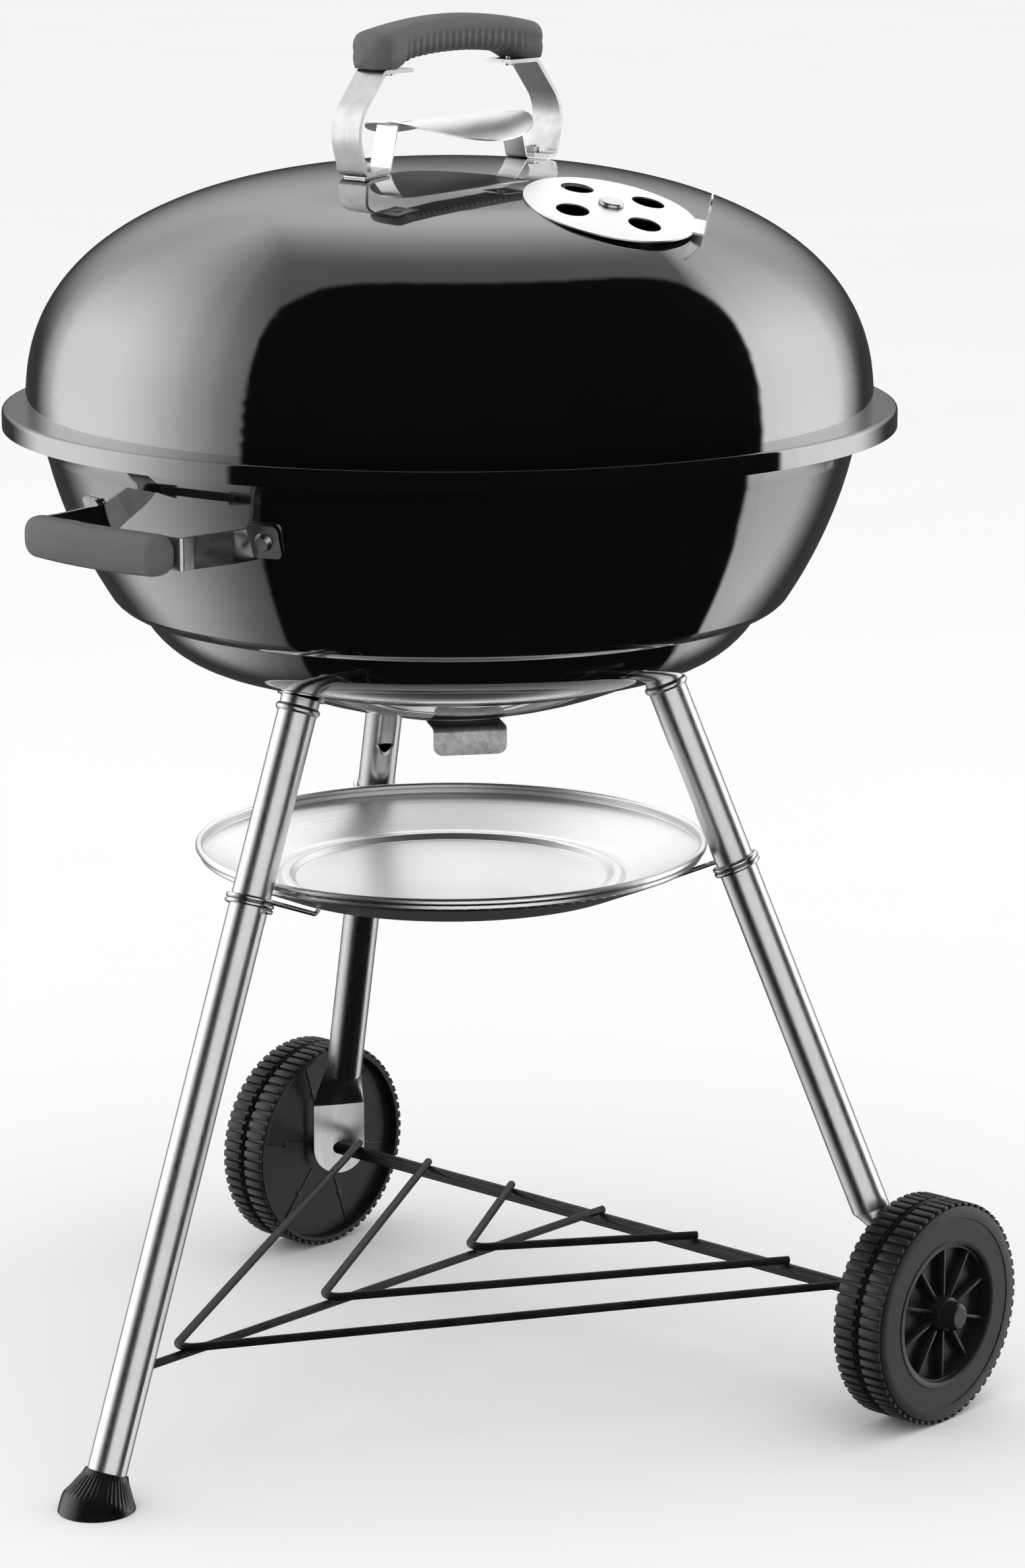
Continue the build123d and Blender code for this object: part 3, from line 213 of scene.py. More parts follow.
def makeSpunLines():
    # faint turning marks round the kettle's upright axis, as on spun sheet
    tree, into, out = newGroup(
        "spunLines",
        [("Scale", floatKind, 600.0), ("Strength", floatKind, 0.1), ("Depth", floatKind, 0.0001)],
        [("Height", floatKind), ("Normal", vectorKind)],
    )
    coords = addNode(tree, "ShaderNodeTexCoord")
    centred = addNode(tree, "ShaderNodeVectorMath", {"operation": "SUBTRACT"})
    centred.inputs[1].default_value = (0, kettleY, 0)
    flat = addNode(tree, "ShaderNodeVectorMath", {"operation": "MULTIPLY"})
    flat.inputs[1].default_value = (1, 1, 0)
    reach = addNode(tree, "ShaderNodeVectorMath", {"operation": "LENGTH"})
    noise = addNode(tree, "ShaderNodeTexNoise", {"noise_dimensions": "1D"}, {"Detail": 4.0, "Roughness": 0.7})
    bump = addNode(tree, "ShaderNodeBump")
    tree.links.new(coords.outputs["Object"], centred.inputs[0])
    tree.links.new(centred.outputs["Vector"], flat.inputs[0])
    tree.links.new(flat.outputs["Vector"], reach.inputs[0])
    tree.links.new(reach.outputs["Value"], noise.inputs["W"])
    tree.links.new(into.outputs["Scale"], noise.inputs["Scale"])
    tree.links.new(noise.outputs["Fac"], bump.inputs["Height"])
    tree.links.new(into.outputs["Strength"], bump.inputs["Strength"])
    tree.links.new(into.outputs["Depth"], bump.inputs["Distance"])
    tree.links.new(noise.outputs["Fac"], out.inputs["Height"])
    tree.links.new(bump.outputs["Normal"], out.inputs["Normal"])
    return tree


def makeDust():
    # a thin film of dust where a surface faces up
    tree, into, out = newGroup(
        "dustFilm",
        [("Color", colorKind, (0.5, 0.5, 0.5, 1)), ("Amount", floatKind, 0.1)],
        [("Color", colorKind)],
    )
    geometry = addNode(tree, "ShaderNodeNewGeometry")
    split = addNode(tree, "ShaderNodeSeparateXYZ")
    coords = addNode(tree, "ShaderNodeTexCoord")
    noise = addNode(tree, "ShaderNodeTexNoise", values={"Scale": 35.0, "Detail": 6.0, "Roughness": 0.65})
    upward = addNode(tree, "ShaderNodeMapRange", values={"From Min": 0.2, "From Max": 1.0})
    both = addNode(tree, "ShaderNodeMath", {"operation": "MULTIPLY"})
    scaled = addNode(tree, "ShaderNodeMath", {"operation": "MULTIPLY", "use_clamp": True})
    mix = addNode(tree, "ShaderNodeMix", {"data_type": "RGBA"})
    mix.inputs["B"].default_value = (0.42, 0.4, 0.37, 1)
    tree.links.new(geometry.outputs["Normal"], split.inputs["Vector"])
    tree.links.new(split.outputs["Z"], upward.inputs["Value"])
    tree.links.new(coords.outputs["Object"], noise.inputs["Vector"])
    tree.links.new(noise.outputs["Fac"], both.inputs[0])
    tree.links.new(upward.outputs["Result"], both.inputs[1])
    tree.links.new(both.outputs["Value"], scaled.inputs[0])
    tree.links.new(into.outputs["Amount"], scaled.inputs[1])
    tree.links.new(scaled.outputs["Value"], mix.inputs["Factor"])
    tree.links.new(into.outputs["Color"], mix.inputs["A"])
    tree.links.new(mix.outputs["Result"], out.inputs["Color"])
    return tree


shaderGroups = {"wear": makeEdgeWear(), "grain": makeFineGrain(), "spun": makeSpunLines(), "dust": makeDust()}


def useGroup(tree, name, values=None):
    node = tree.nodes.new("ShaderNodeGroup")
    node.node_tree = shaderGroups[name]
    for key, value in (values or {}).items():
        node.inputs[key].default_value = value
    return node


def makeMaterial(name, look):
    # colour, mottling, wear and dust, roughness from the surface's own grain, and the constants on the shader itself
    material = bpy.data.materials.new(name)
    material.use_nodes = True
    tree = material.node_tree
    shader = tree.nodes["Principled BSDF"]
    for key, value in look["shader"].items():
        shader.inputs[key].default_value = value
    surface = useGroup(tree, look.get("surface", "grain"), look["grain"])
    mottle = addNode(tree, "ShaderNodeTexNoise", values={"Scale": look["mottleScale"], "Detail": 5.0, "Roughness": 0.6})
    coords = addNode(tree, "ShaderNodeTexCoord")
    ramp = addNode(tree, "ShaderNodeValToRGB")
    for element, place, color in zip(ramp.color_ramp.elements, (0.3, 0.72), look["colors"]):
        element.position, element.color = place, (*color, 1)
    wear = useGroup(tree, "wear", {"Worn Color": (*look["worn"], 1), "Amount": look["wearAmount"]})
    dust = useGroup(tree, "dust", {"Amount": look["dust"]})
    rough = addNode(
        tree,
        "ShaderNodeMapRange",
        values={"From Min": 0.3, "From Max": 0.7, "To Min": look["roughness"][0], "To Max": look["roughness"][1]},
    )
    tree.links.new(coords.outputs["Object"], mottle.inputs["Vector"])
    tree.links.new(mottle.outputs["Fac"], ramp.inputs["Fac"])
    tree.links.new(ramp.outputs["Color"], wear.inputs["Color"])
    tree.links.new(wear.outputs["Color"], dust.inputs["Color"])
    tree.links.new(dust.outputs["Color"], shader.inputs["Base Color"])
    tree.links.new(surface.outputs["Height"], rough.inputs["Value"])
    tree.links.new(rough.outputs["Result"], shader.inputs["Roughness"])
    tree.links.new(surface.outputs["Normal"], shader.inputs["Normal"])
    return material


def gray(value):
    return (value, value, value)


def grain(scale, strength, depth, stretch=(1, 1, 1)):
    return {"Scale": scale, "Strength": strength, "Depth": depth, "Stretch": stretch}


looks = {
    "enamel": {
        "shader": {"Metallic": 0.0, "IOR": 2.0, "Coat Weight": 1.0, "Coat Roughness": 0.02, "Coat IOR": 2.0},
        "grain": grain(90.0, 0.015, 0.0001),
        "mottleScale": 3.0,
        "colors": (gray(0.002), gray(0.0035)),
        "worn": gray(0.01),
        "wearAmount": 0.3,
        "dust": 0.002,
        "roughness": (0.04, 0.07),
    },
    "leg": {
        "shader": {"Metallic": 1.0},
        "grain": grain(500.0, 0.02, 0.00005, (1, 1, 0.1)),
        "mottleScale": 12.0,
        "colors": (gray(0.56), gray(0.66)),
        "worn": gray(0.74),
        "wearAmount": 0.3,
        "dust": 0.02,
        "roughness": (0.26, 0.34),
    },
    "plated_steel": {
        "shader": {"Metallic": 1.0},
        "grain": grain(500.0, 0.05, 0.0001),
        "mottleScale": 25.0,
        "colors": (gray(0.52), gray(0.68)),
        "worn": gray(0.8),
        "wearAmount": 0.3,
        "dust": 0.03,
        "roughness": (0.18, 0.32),
    },
    "black_wire": {
        "shader": {"Metallic": 0.0, "IOR": 1.35},
        "grain": grain(450.0, 0.08, 0.0001),
        "mottleScale": 30.0,
        "colors": (gray(0.004), gray(0.008)),
        "worn": gray(0.05),
        "wearAmount": 0.4,
        "dust": 0.015,
        "roughness": (0.28, 0.4),
    },
    "strap": {
        "shader": {"Metallic": 1.0},
        "grain": grain(500.0, 0.02, 0.00005, (1, 0.1, 0.3)),
        "mottleScale": 20.0,
        "colors": (gray(0.42), gray(0.5)),
        "worn": gray(0.66),
        "wearAmount": 0.5,
        "dust": 0.02,
        "roughness": (0.27, 0.35),
    },
    "fastener": {
        "shader": {"Metallic": 1.0},
        "grain": grain(600.0, 0.08, 0.0001),
        "mottleScale": 60.0,
        "colors": (gray(0.46), gray(0.62)),
        "worn": gray(0.8),
        "wearAmount": 0.6,
        "dust": 0.02,
        "roughness": (0.22, 0.38),
    },
    "galvanised": {
        "shader": {"Metallic": 0.85},
        "grain": grain(350.0, 0.15, 0.0002),
        "mottleScale": 90.0,
        "colors": ((0.3, 0.31, 0.32), (0.44, 0.45, 0.46)),
        "worn": gray(0.6),
        "wearAmount": 0.6,
        "dust": 0.08,
        "roughness": (0.36, 0.55),
    },
    "aluminium": {
        "shader": {"Metallic": 1.0},
        "surface": "spun",
        "grain": {"Scale": 900.0, "Strength": 0.08, "Depth": 0.0001},
        "mottleScale": 9.0,
        "colors": ((0.72, 0.72, 0.73), (0.8, 0.8, 0.81)),
        "worn": gray(0.9),
        "wearAmount": 0.5,
        "dust": 0.03,
        "roughness": (0.3, 0.42),
    },
    "grate": {
        "shader": {"Metallic": 1.0},
        "grain": grain(500.0, 0.06, 0.0001),
        "mottleScale": 30.0,
        "colors": (gray(0.5), gray(0.66)),
        "worn": gray(0.8),
        "wearAmount": 0.3,
        "dust": 0.02,
        "roughness": (0.14, 0.26),
    },
    "coal_grate": {
        "shader": {"Metallic": 0.9},
        "grain": grain(260.0, 0.35, 0.0003),
        "mottleScale": 40.0,
        "colors": ((0.1, 0.095, 0.09), (0.22, 0.2, 0.19)),
        "worn": gray(0.35),
        "wearAmount": 0.5,
        "dust": 0.15,
        "roughness": (0.45, 0.7),
    },
    "grip": {
        "shader": {"Metallic": 0.0, "IOR": 1.45},
        "grain": grain(900.0, 0.22, 0.0002),
        "mottleScale": 18.0,
        "colors": ((0.088, 0.09, 0.094), (0.108, 0.11, 0.114)),
        "worn": gray(0.17),
        "wearAmount": 0.5,
        "dust": 0.05,
        "roughness": (0.42, 0.58),
    },
    "boot": {
        "shader": {"Metallic": 0.0, "IOR": 1.5},
        "grain": grain(500.0, 0.2, 0.0002),
        "mottleScale": 40.0,
        "colors": (gray(0.003), gray(0.007)),
        "worn": gray(0.03),
        "wearAmount": 0.5,
        "dust": 0.02,
        "roughness": (0.24, 0.36),
    },
    "wheel": {
        "shader": {"Metallic": 0.0, "IOR": 1.45},
        "grain": grain(600.0, 0.15, 0.0002),
        "mottleScale": 30.0,
        "colors": (gray(0.006), gray(0.012)),
        "worn": gray(0.04),
        "wearAmount": 0.5,
        "dust": 0.02,
        "roughness": (0.32, 0.46),
    },
    "cap": {
        "shader": {"Metallic": 0.0, "IOR": 1.5},
        "grain": grain(700.0, 0.15, 0.0002),
        "mottleScale": 50.0,
        "colors": (gray(0.005), gray(0.01)),
        "worn": gray(0.04),
        "wearAmount": 0.5,
        "dust": 0.02,
        "roughness": (0.28, 0.4),
    },
}
materials = {slot: makeMaterial(slot, look) for slot, look in looks.items()}
print("materials made:", len(materials))

for part in frame["record"]["subparts"]:
    mesh = nodes[part["node"]].data
    mesh.materials.clear()
    mesh.materials.append(materials[part["material_slot"]])
print("frame nodes dressed")

# wheels
wheelDesign = {
    "width": 0.038,
    "clearance": 0.00015,
    "steps": 128,
    "lugs": 64,
    "lugDepth": 0.0024,
    "lugShare": 0.64,
    "lugBevel": 0.0005,
    "rowMargin": 0.0008,
    "middleGap": 0.0052,
    "ribRadius": 0.0006,
    "ribOffset": 0.0011,
    "root": 0.0008,
    "wall": 0.0032,
    "faceWall": 0.0026,
    "faceInner": 0.046,
    "web": (0.026, 0.0285),
    "hub": (0.011, 0.0135),
    "bore": 0.0048,
    "spokes": 10,
    "spokeWidth": 0.0024,
    "spokeDepth": 0.006,
}


def wheelFrame(side):
    # middle of the wheel's inner face, the direction outwards along the axle, and a direction across it
    return Vector((side * wheelLow.x, axleY, axleZ)), Vector((side, 0, 0)), Vector((0, 0, 1))


def buildWheel(side, name, body, node):
    design = wheelDesign
    origin, outward, up = wheelFrame(side)
    radius, width = wheelHigh.z - axleZ - design["clearance"], design["width"]
    hubEnd = wheelHigh.x - wheelLow.x
    base = radius - design["lugDepth"]
    inner, faceAt, faceInner = base - design["wall"], width - design["faceWall"], design["faceInner"]
    webNear, webFar = design["web"]
    hubBase, hubRoot = design["hub"]
    outline = [
        (0.0007, base),
        (width - 0.0007, base),
        (width - 0.0002, base - 0.0005),
        (width, base - 0.001),
        (width, 0.0645),
        (width - 0.0005, 0.0642),
        (width - 0.0005, 0.0506),
        (width, 0.0502),
        (width, faceInner + 0.0012),
        (width - 0.0005, faceInner + 0.0003),
        (width - 0.0014, faceInner),
        (webFar + 0.002, faceInner - 0.0006),
        (webFar, faceInner - 0.0026),
        (webFar, hubRoot + 0.002),
        (webFar + 0.0015, hubRoot),
        (hubEnd - 0.0012, hubBase + 0.0004),
        (hubEnd, hubBase - 0.001),
        (hubEnd, design["bore"]),
        (0.002, design["bore"]),
        (0.002, hubBase),
        (webNear, hubBase),
        (webNear, faceInner - 0.0025),
        (faceAt, faceInner - 0.0015),
        (faceAt, inner),
        (0.0, inner),
        (0.0, base - 0.0007),
    ]
    bm = bmesh.new()
    spinProfile(bm, outline, origin, outward, up, design["steps"])
    # a double rib runs round the middle of the tread, between two staggered rows of lugs
    ribRadius, ribHeight = design["ribRadius"], design["lugDepth"] * 0.8
    for offset in (-design["ribOffset"], design["ribOffset"]):
        middle = width / 2 + offset
        rib = [(middle + ribRadius * cos(a), base + ribHeight * sin(a)) for a in (0, 0.6, 1.57, 2.54, pi)]
        spinProfile(bm, rib + [(middle, base - design["root"])], origin, outward, up, design["steps"])
    rowWidth = (width - design["middleGap"]) / 2 - design["rowMargin"]
    step = 2 * pi / design["lugs"]
    lugWidth = design["lugShare"] * step * radius
    lugTop = sqrt(radius**2 - lugWidth**2 / 4)
    lugHeight = lugTop - base + design["root"]
    for row, turn in ((design["rowMargin"], 0), (width - design["rowMargin"] - rowWidth, 0.5)):
        for i in range(design["lugs"]):
            angle = (i + turn) * step
            place = (
                Matrix.Translation(origin + outward * (row + rowWidth / 2))
                @ Matrix.Rotation(angle, 4, "X")
                @ Matrix.Translation((0, 0, lugTop - lugHeight / 2))
            )
            addBlock(bm, (rowWidth, lugWidth, lugHeight), place, design["lugBevel"])
    # ribs in the recessed middle, from the hub to the face
    spokeReach = faceInner - hubRoot + design["root"]
    for i in range(design["spokes"]):
        place = (
            Matrix.Translation(origin + outward * (webFar + 0.0029))
            @ Matrix.Rotation(2 * pi * i / design["spokes"], 4, "X")
            @ Matrix.Translation((0, 0, hubRoot + spokeReach / 2 - 0.001))
        )
        addBlock(bm, (design["spokeDepth"], design["spokeWidth"], spokeReach), place, design["lugBevel"])
    finish(bm, name, body, materials["wheel"], [node])


backDesign = {
    "steps": 96,
    "bore": 0.0111,
    "lines": 6,
    "firstLine": 0.3,
    "lineWidth": 0.0012,
    "lineHeight": 0.0006,
    "lineEnds": (0.021, 0.005),
    "lineBevel": 0.0002,
    "dotRadius": 0.0026,
    "dotPlace": 0.62,
}


def buildWheelBack(side, name, body, node):
    # the plain inner disc, with thin radial lines that each carry a dot
    design = backDesign
    origin, outward, up = wheelFrame(side)
    start, end = backLow.x - wheelLow.x, backHigh.x - wheelLow.x
    outer, bore = backHigh.z - axleZ, design["bore"]
    bm = bmesh.new()
    disc = [(start, outer - 0.0006), (start + 0.0006, outer), (end, outer)]
    disc += [(end, bore), (start + 0.0004, bore), (start, bore + 0.0004)]
    spinProfile(bm, disc, origin, outward, up, design["steps"])
    height, dot = design["lineHeight"], design["dotRadius"]
    near, far = design["lineEnds"]
    lineLength, lineMiddle = outer - near - far, (outer + near - far) / 2
    for i in range(design["lines"]):
        turn = 2 * pi * (i + design["firstLine"]) / design["lines"]
        place = Matrix.Translation(origin + outward * start) @ Matrix.Rotation(turn, 4, "X")
        linePlace = place @ Matrix.Translation((0, 0, lineMiddle))
        addBlock(bm, (1.8 * height, design["lineWidth"], lineLength), linePlace, design["lineBevel"])
        dotPlace = place @ Matrix.Translation((0, 0, outer * design["dotPlace"]))
        dotPlace = dotPlace @ Matrix.Diagonal((height, dot, dot, 1))
        bmesh.ops.create_uvsphere(bm, u_segments=20, v_segments=12, radius=1, matrix=dotPlace)
    finish(bm, name, body, materials["wheel"], [node])


for side, label in ((1, "right"), (-1, "left")):
    buildWheel(side, f"{label}WheelTread", f"{label}_wheel", f"wheel_{label}")
    buildWheelBack(side, f"{label}WheelBack", f"{label}_wheel", f"wheel_back_{label}")
print("wheels built")

# boot of the foot leg: a fluted skirt round the end of the tube
bootDesign = {
    "steps": 264,
    "tubeRadius": 0.01275,
    "collar": 0.005,
    "flutes": 44,
    "fluteDepth": 0.0006,
    "fluted": (0.004, 0.0175),
    "floorGap": 0.0002,
}


def buildBoot():
    design = bootDesign
    start, down = legLine("front_leg")
    low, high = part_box("foot_boot")
    side = Vector((1, 0, 0))
    across = down.cross(side).normalized()
    top = start + down * ((start.z - high.z + design["collar"]) / -down.z)
    halfWidth, tube, gap = (high.x - low.x) / 2, design["tubeRadius"], design["floorGap"]
    outline = [(0, tube), (0, tube + 0.0007), (0.0003, tube + 0.0014), (0.0016, tube + 0.0018), (0.0028, tube + 0.0022)]
    outline += [(0.0046, tube + 0.0031), (0.009, tube + 0.0056), (0.0135, tube + 0.0081), (0.0165, halfWidth - 0.0016)]
    outline += [(0.0185, halfWidth - 0.0006), (0.0205, halfWidth - 0.0002), (0.023, halfWidth), (0.04, halfWidth)]
    tubeEnd = max((v.co - top).dot(down) for v in nodes["front_leg"].data.vertices)
    outline += [(0.04, 0), (tubeEnd + gap, 0), (tubeEnd + gap, tube)]
    bm = bmesh.new()
    spinProfile(bm, outline, top, down, side, design["steps"])
    first, last = design["fluted"]
    for vert in bm.verts:
        along = (vert.co - top).dot(down)
        outward = vert.co - top - down * along
        if first < along < last and outward.length > tube + 0.002:
            angle = atan2(outward.dot(across), outward.dot(side))
            vert.co -= outward.normalized() * design["fluteDepth"] * (0.5 + 0.5 * cos(design["flutes"] * angle))
    everything = bm.verts[:] + bm.edges[:] + bm.faces[:]
    cut = bmesh.ops.bisect_plane(bm, geom=everything, plane_co=(0, 0, gap), plane_no=(0, 0, -1), clear_outer=True)
    bmesh.ops.edgeloop_fill(bm, edges=[e for e in cut["geom_cut"] if isinstance(e, bmesh.types.BMEdge)])
    finish(bm, "footBoot", "stand", materials["boot"], ["foot_boot"], smooth=0.7)


buildBoot()
print("boot built")

# lid grip: an arched bar, fuller at its ends, with a seam and slanting finger ridges underneath
gripDesign = {
    "stations": 160,
    "around": 72,
    "halfHeight": 0.0135,
    "arch": 0.009,
    "waist": 0.86,
    "ridges": 17,
    "ridgeDepth": 0.0011,
    "seamDepth": 0.0005,
    "endRound": 0.007,
    "endDrop": 0.45,
    "endStart": 0.62,
    "squareness": 0.62,
    "above": 0.94,
    "below": 0.8,
}


def shapeGripVert(co, halfWidth, halfLength, crown, floorZ):
    # one point of a round bar of radius 1 moved to its place on the arched grip
    design = gripDesign
    s, reach = co.y / halfLength, sqrt(co.x**2 + co.z**2)
    c, d = (co.x / reach, co.z / reach) if reach > 1e-6 else (0, 0)
    waist = design["waist"] + (1 - design["waist"]) * min(1, (abs(s) / 0.85) ** 3)
    grooved = limit((0.74 - abs(s)) / 0.06) * limit((0.15 - d) / 0.3)
    wave = 0.5 + 0.5 * cos(2 * pi * (design["ridges"] * s * 0.74 + 0.9 * abs(c)))
    sunk = grooved * design["ridgeDepth"] * wave + (design["seamDepth"] if abs(d) < 0.06 else 0)
    shrink = reach * (1 - sunk / design["halfHeight"])
    x = squared(c, design["squareness"]) * halfWidth * waist * shrink
    z = squared(d, design["squareness"]) * design["halfHeight"] * shrink
    z *= design["above"] if d > 0 else design["below"]
    if d < 0:
        z *= 1 + design["endDrop"] * limit((abs(s) - 0.6) / 0.22)
    z += crown - design["halfHeight"] - design["arch"] * s * s
    return Vector((x, kettleY + co.y, max(z, floorZ) if abs(s) > design["endStart"] else z))


def buildLidGrip():
    low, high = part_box("lid_handle_grip")
    halfWidth, halfLength = (high.x - low.x) / 2, (high.y - low.y) / 2
    bm = bmesh.new()
    turnedBar(bm, Vector((0, 1, 0)), halfLength, gripDesign)
    for vert in bm.verts:
        vert.co = shapeGripVert(vert.co, halfWidth, halfLength, high.z, low.z + 0.0002)
    finish(bm, "lidGrip", "lid", materials["grip"], ["lid_handle_grip"], smooth=0.9)


buildLidGrip()
print("lid grip built")

# bowl grip: a bowed bar with softly squared sides and rounded ends
bowlGripDesign = {
    "stations": 120,
    "around": 64,
    "endRound": 0.012,
    "bow": 0.16,
    "slim": 0.84,
    "squareness": 0.7,
    "belly": 0.1,
    "above": 0.97,
}


def buildBowlGrip():
    design = bowlGripDesign
    low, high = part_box("bowl_handle_grip")
    middle, half = (low + high) / 2, (high - low) / 2
    bm = bmesh.new()
    turnedBar(bm, Vector((1, 0, 0)), half.x, design)
    for vert in bm.verts:
        x, y, z = vert.co
        s, reach = x / half.x, max(1e-6, sqrt(y * y + z * z))
        y = squared(y / reach, design["squareness"]) * reach * design["slim"] + design["bow"] * (2 * s * s - 1)
        tall = 1 - design["belly"] * s * s if z < 0 else design["above"]
        z = squared(z / reach, design["squareness"]) * reach * tall
        vert.co = middle + Vector((x, y * half.y, z * half.z))
    finish(bm, "bowlGrip", "stand", materials["grip"], ["bowl_handle_grip"], smooth=0.9)


buildBowlGrip()
print("bowl grip built")

# floor, light and camera


def buildFloor():
    bm = bmesh.new()
    bmesh.ops.create_grid(bm, x_segments=8, y_segments=8, size=60)
    mesh = bpy.data.meshes.new("floor")
    bm.to_mesh(mesh)
    bm.free()
    floor = bpy.data.objects.new("floor", mesh)
    bpy.context.scene.collection.objects.link(floor)
    material = bpy.data.materials.new("paleFloor")
    material.use_nodes = True
    tree = material.node_tree
    shader = tree.nodes["Principled BSDF"]
    coords = addNode(tree, "ShaderNodeTexCoord")
    noise = addNode(tree, "ShaderNodeTexNoise", values={"Scale": 1.5, "Detail": 3.0})
    ramp = addNode(tree, "ShaderNodeValToRGB")
    ramp.color_ramp.elements[0].color = (0.9, 0.9, 0.9, 1)
    ramp.color_ramp.elements[1].color = (0.94, 0.94, 0.94, 1)
    tree.links.new(coords.outputs["Object"], noise.inputs["Vector"])
    tree.links.new(noise.outputs["Fac"], ramp.inputs["Fac"])
    tree.links.new(ramp.outputs["Color"], shader.inputs["Base Color"])
    shader.inputs["Roughness"].default_value = 0.9
    # mirror-like surfaces see the studio's dark side below them, not the pale floor
    path = addNode(tree, "ShaderNodeLightPath")
    clear = addNode(tree, "ShaderNodeBsdfTransparent")
    pick = addNode(tree, "ShaderNodeMixShader")
    tree.links.new(path.outputs["Is Glossy Ray"], pick.inputs["Fac"])
    tree.links.new(shader.outputs["BSDF"], pick.inputs[1])
    tree.links.new(clear.outputs["BSDF"], pick.inputs[2])
    tree.links.new(pick.outputs["Shader"], tree.nodes["Material Output"].inputs["Surface"])
    mesh.materials.append(material)


buildFloor()

cameraDesign = {"azimuth": 42.14, "pitch": 12.92, "lens": 112.0, "shift": 0.008, "place": (2.1406, -2.3053, 1.1265)}
# the studio as a shiny ball in the kettle's place would show it, in degrees round and up from the camera's side
studioDesign = {
    "facing": 9.1,
    "openingMiddle": 9.0,
    "openingHalfWidth": 37.0,
    "openingTop": 54.0,
    "openingGlow": 0.003,
    "left": (-25.0, -50.0, 0.45, 2.3),
    "right": (40.0, 47.0, 0.2, 2.4),
    "edgeFade": (50.0, 84.0, 1.0, 0.3),
    "sideFade": (22.0, 62.0, 1.0, 0.4),
    "upper": (58.0, 74.0, 0.28, 1.1),
    "topBand": (74.0, 81.0, 1.0, 0.05),
    "bowlFade": (2.0, -8.0, 1.0, 0.5),
    "lowFade": (-26.0, -52.0, 1.0, 0.1),
    "behind": (-0.6, -0.88, 0.0, 1.0),
    "behindGlow": (-2.0, 26.0, 0.05, 0.7),
    "backdrop": 1.0,
    "softFill": 0.95,
}


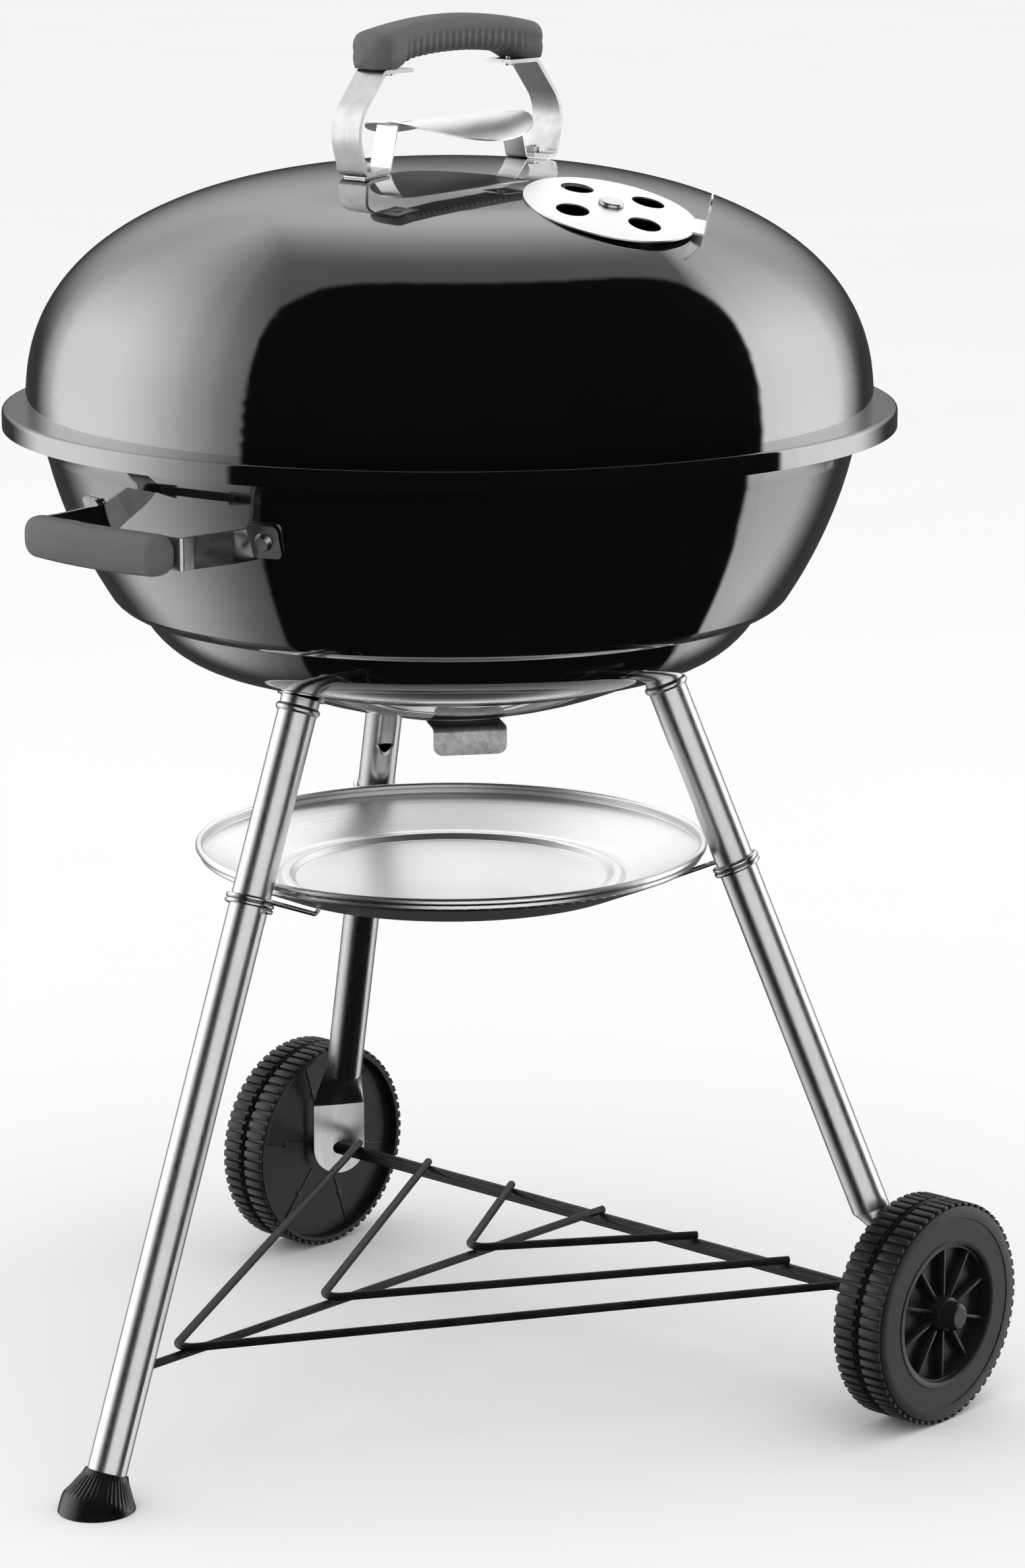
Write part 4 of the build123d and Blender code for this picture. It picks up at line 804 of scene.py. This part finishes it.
def buildStudio():
    world = bpy.data.worlds.new("studio")
    bpy.context.scene.world = world
    world.use_nodes = True
    tree = world.node_tree
    background = tree.nodes["Background"]
    out = tree.nodes["World Output"]
    design = studioDesign
    toCamera, up = radians(cameraDesign["azimuth"]), Vector((0, 0, 1))
    forward, right = Vector((sin(toCamera), -cos(toCamera), 0)), Vector((cos(toCamera), sin(toCamera), 0))
    facing = forward * cos(radians(design["facing"])) + up * sin(radians(design["facing"]))
    coords = addNode(tree, "ShaderNodeTexCoord")
    halfway = addNode(tree, "ShaderNodeVectorMath", {"operation": "ADD"})
    halfway.inputs[1].default_value = facing
    normal = addNode(tree, "ShaderNodeVectorMath", {"operation": "NORMALIZE"})
    tree.links.new(coords.outputs["Generated"], halfway.inputs[0])
    tree.links.new(halfway.outputs["Vector"], normal.inputs[0])

    def dotWith(vector, source=normal.outputs["Vector"]):
        node = addNode(tree, "ShaderNodeVectorMath", {"operation": "DOT_PRODUCT"})
        node.inputs[1].default_value = vector
        tree.links.new(source, node.inputs[0])
        return node.outputs["Value"]

    def calc(operation, first, second=None):
        node = addNode(tree, "ShaderNodeMath", {"operation": operation})
        for socket, value in zip(node.inputs, (first, second)):
            if isinstance(value, (int, float)):
                socket.default_value = value
            elif value is not None:
                tree.links.new(value, socket)
        return node.outputs["Value"]

    def ramp(value, fromMin, fromMax, toMin, toMax):
        node = addNode(tree, "ShaderNodeMapRange", {"interpolation_type": "SMOOTHSTEP"})
        tree.links.new(value, node.inputs["Value"])
        for label, number in (("From Min", fromMin), ("From Max", fromMax), ("To Min", toMin), ("To Max", toMax)):
            node.inputs[label].default_value = number
        return node.outputs["Result"]

    around = calc("MULTIPLY", calc("ARCTAN2", dotWith(right), dotWith(forward)), 180 / pi)
    rise = calc("MULTIPLY", calc("ARCSINE", dotWith(up)), 180 / pi)
    # the dark opening: a rounded rectangle on the camera's side
    sideways = calc("SUBTRACT", around, design["openingMiddle"])
    sideways = calc("ABSOLUTE", calc("DIVIDE", sideways, design["openingHalfWidth"]))
    upwards = calc("MAXIMUM", calc("DIVIDE", rise, design["openingTop"]), 0.0)
    outside = ramp(calc("ADD", calc("POWER", sideways, 6.0), calc("POWER", upwards, 6.0)), 0.95, 1.15, 0.0, 1.0)
    walls = calc("MAXIMUM", ramp(around, *design["left"]), ramp(around, *design["right"]))
    walls = calc("MULTIPLY", walls, ramp(calc("ABSOLUTE", around), *design["edgeFade"]))
    walls = calc("MAXIMUM", calc("MULTIPLY", walls, ramp(rise, *design["sideFade"])), ramp(rise, *design["upper"]))
    for fade in ("topBand", "bowlFade", "lowFade"):
        walls = calc("MULTIPLY", walls, ramp(rise, *design[fade]))
    light = calc("ADD", calc("MULTIPLY", outside, walls), design["openingGlow"])
    # far behind the kettle the studio is one even wall, lighter towards its top
    direction = coords.outputs["Generated"]
    height = calc("MULTIPLY", calc("ARCSINE", dotWith(up, direction)), 180 / pi)
    behind = addNode(tree, "ShaderNodeMix", {"data_type": "FLOAT"})
    tree.links.new(ramp(dotWith(facing, direction), *design["behind"]), behind.inputs["Factor"])
    tree.links.new(light, behind.inputs["A"])
    tree.links.new(ramp(height, *design["behindGlow"]), behind.inputs["B"])
    light = behind.outputs["Result"]
    # the pale backdrop itself, and an even fill for dull surfaces
    path = addNode(tree, "ShaderNodeLightPath")
    for ray, strength in (("Is Diffuse Ray", design["softFill"]), ("Is Camera Ray", design["backdrop"])):
        pick = addNode(tree, "ShaderNodeMix", {"data_type": "FLOAT"})
        tree.links.new(path.outputs[ray], pick.inputs["Factor"])
        tree.links.new(light, pick.inputs["A"])
        pick.inputs["B"].default_value = strength
        light = pick.outputs["Result"]
    tree.links.new(light, background.inputs["Strength"])
    background.inputs["Color"].default_value = (1, 1, 1, 1)
    tree.links.new(background.outputs["Background"], out.inputs["Surface"])


buildStudio()


def addSoftBox(name, design, receivers=None):
    # a large soft light on the camera's side or behind, given in degrees round and up and metres from the kettle
    data = bpy.data.lights.new(name, "AREA")
    data.shape, data.size, data.size_y = "RECTANGLE", *design["size"]
    data.energy = design["radiance"] * pi * design["size"][0] * design["size"][1]
    around, rise = radians(cameraDesign["azimuth"] + design["around"]), radians(design["rise"])
    target = Vector((0, kettleY, design["target"]))
    toward = Vector((sin(around) * cos(rise), -cos(around) * cos(rise), sin(rise)))
    light = bpy.data.objects.new(name, data)
    light.location = target + toward * design["distance"]
    light.rotation_euler = toward.to_track_quat("Z", "Y").to_euler()
    light.visible_camera = False
    light.visible_glossy = receivers is not None
    bpy.context.scene.collection.objects.link(light)
    if receivers:
        light.light_linking.receiver_collection = receivers


# bare metal has softboxes of its own, so that the enamel keeps its dark middle
metalSlots = ("leg", "plated_steel", "strap", "fastener", "galvanised", "aluminium", "grate")
bareMetal = bpy.data.collections.new("bareMetal")
for part in frame["record"]["subparts"]:
    if part["material_slot"] in metalSlots:
        bareMetal.objects.link(nodes[part["node"]])

softBoxes = {
    "softTop": {"around": 0, "rise": 70, "distance": 5.0, "size": (5.0, 5.0), "target": 0.3, "radiance": 0.7},
    "metalFront": {"around": 20, "rise": 4, "distance": 3.6, "size": (4.8, 5.0), "target": 0.4, "radiance": 1.15},
    "metalBehind": {"around": 180, "rise": 32, "distance": 4.0, "size": (5.0, 3.6), "target": 0.4, "radiance": 0.8},
}
for name, design in softBoxes.items():
    addSoftBox(name, design, bareMetal if name.startswith("metal") else None)

cameraData = bpy.data.cameras.new("camera")
cameraData.lens = cameraDesign["lens"]
cameraData.shift_y = cameraDesign["shift"]
cameraData.clip_end = 200
camera = bpy.data.objects.new("camera", cameraData)
camera.location = Vector(cameraDesign["place"]) + Vector((0, kettleY, 0))
camera.rotation_euler = (radians(90 - cameraDesign["pitch"]), 0, radians(cameraDesign["azimuth"]))
bpy.context.scene.collection.objects.link(camera)
bpy.context.scene.camera = camera
bpy.context.scene.view_settings.view_transform = "Standard"
print("stage, light and camera set")
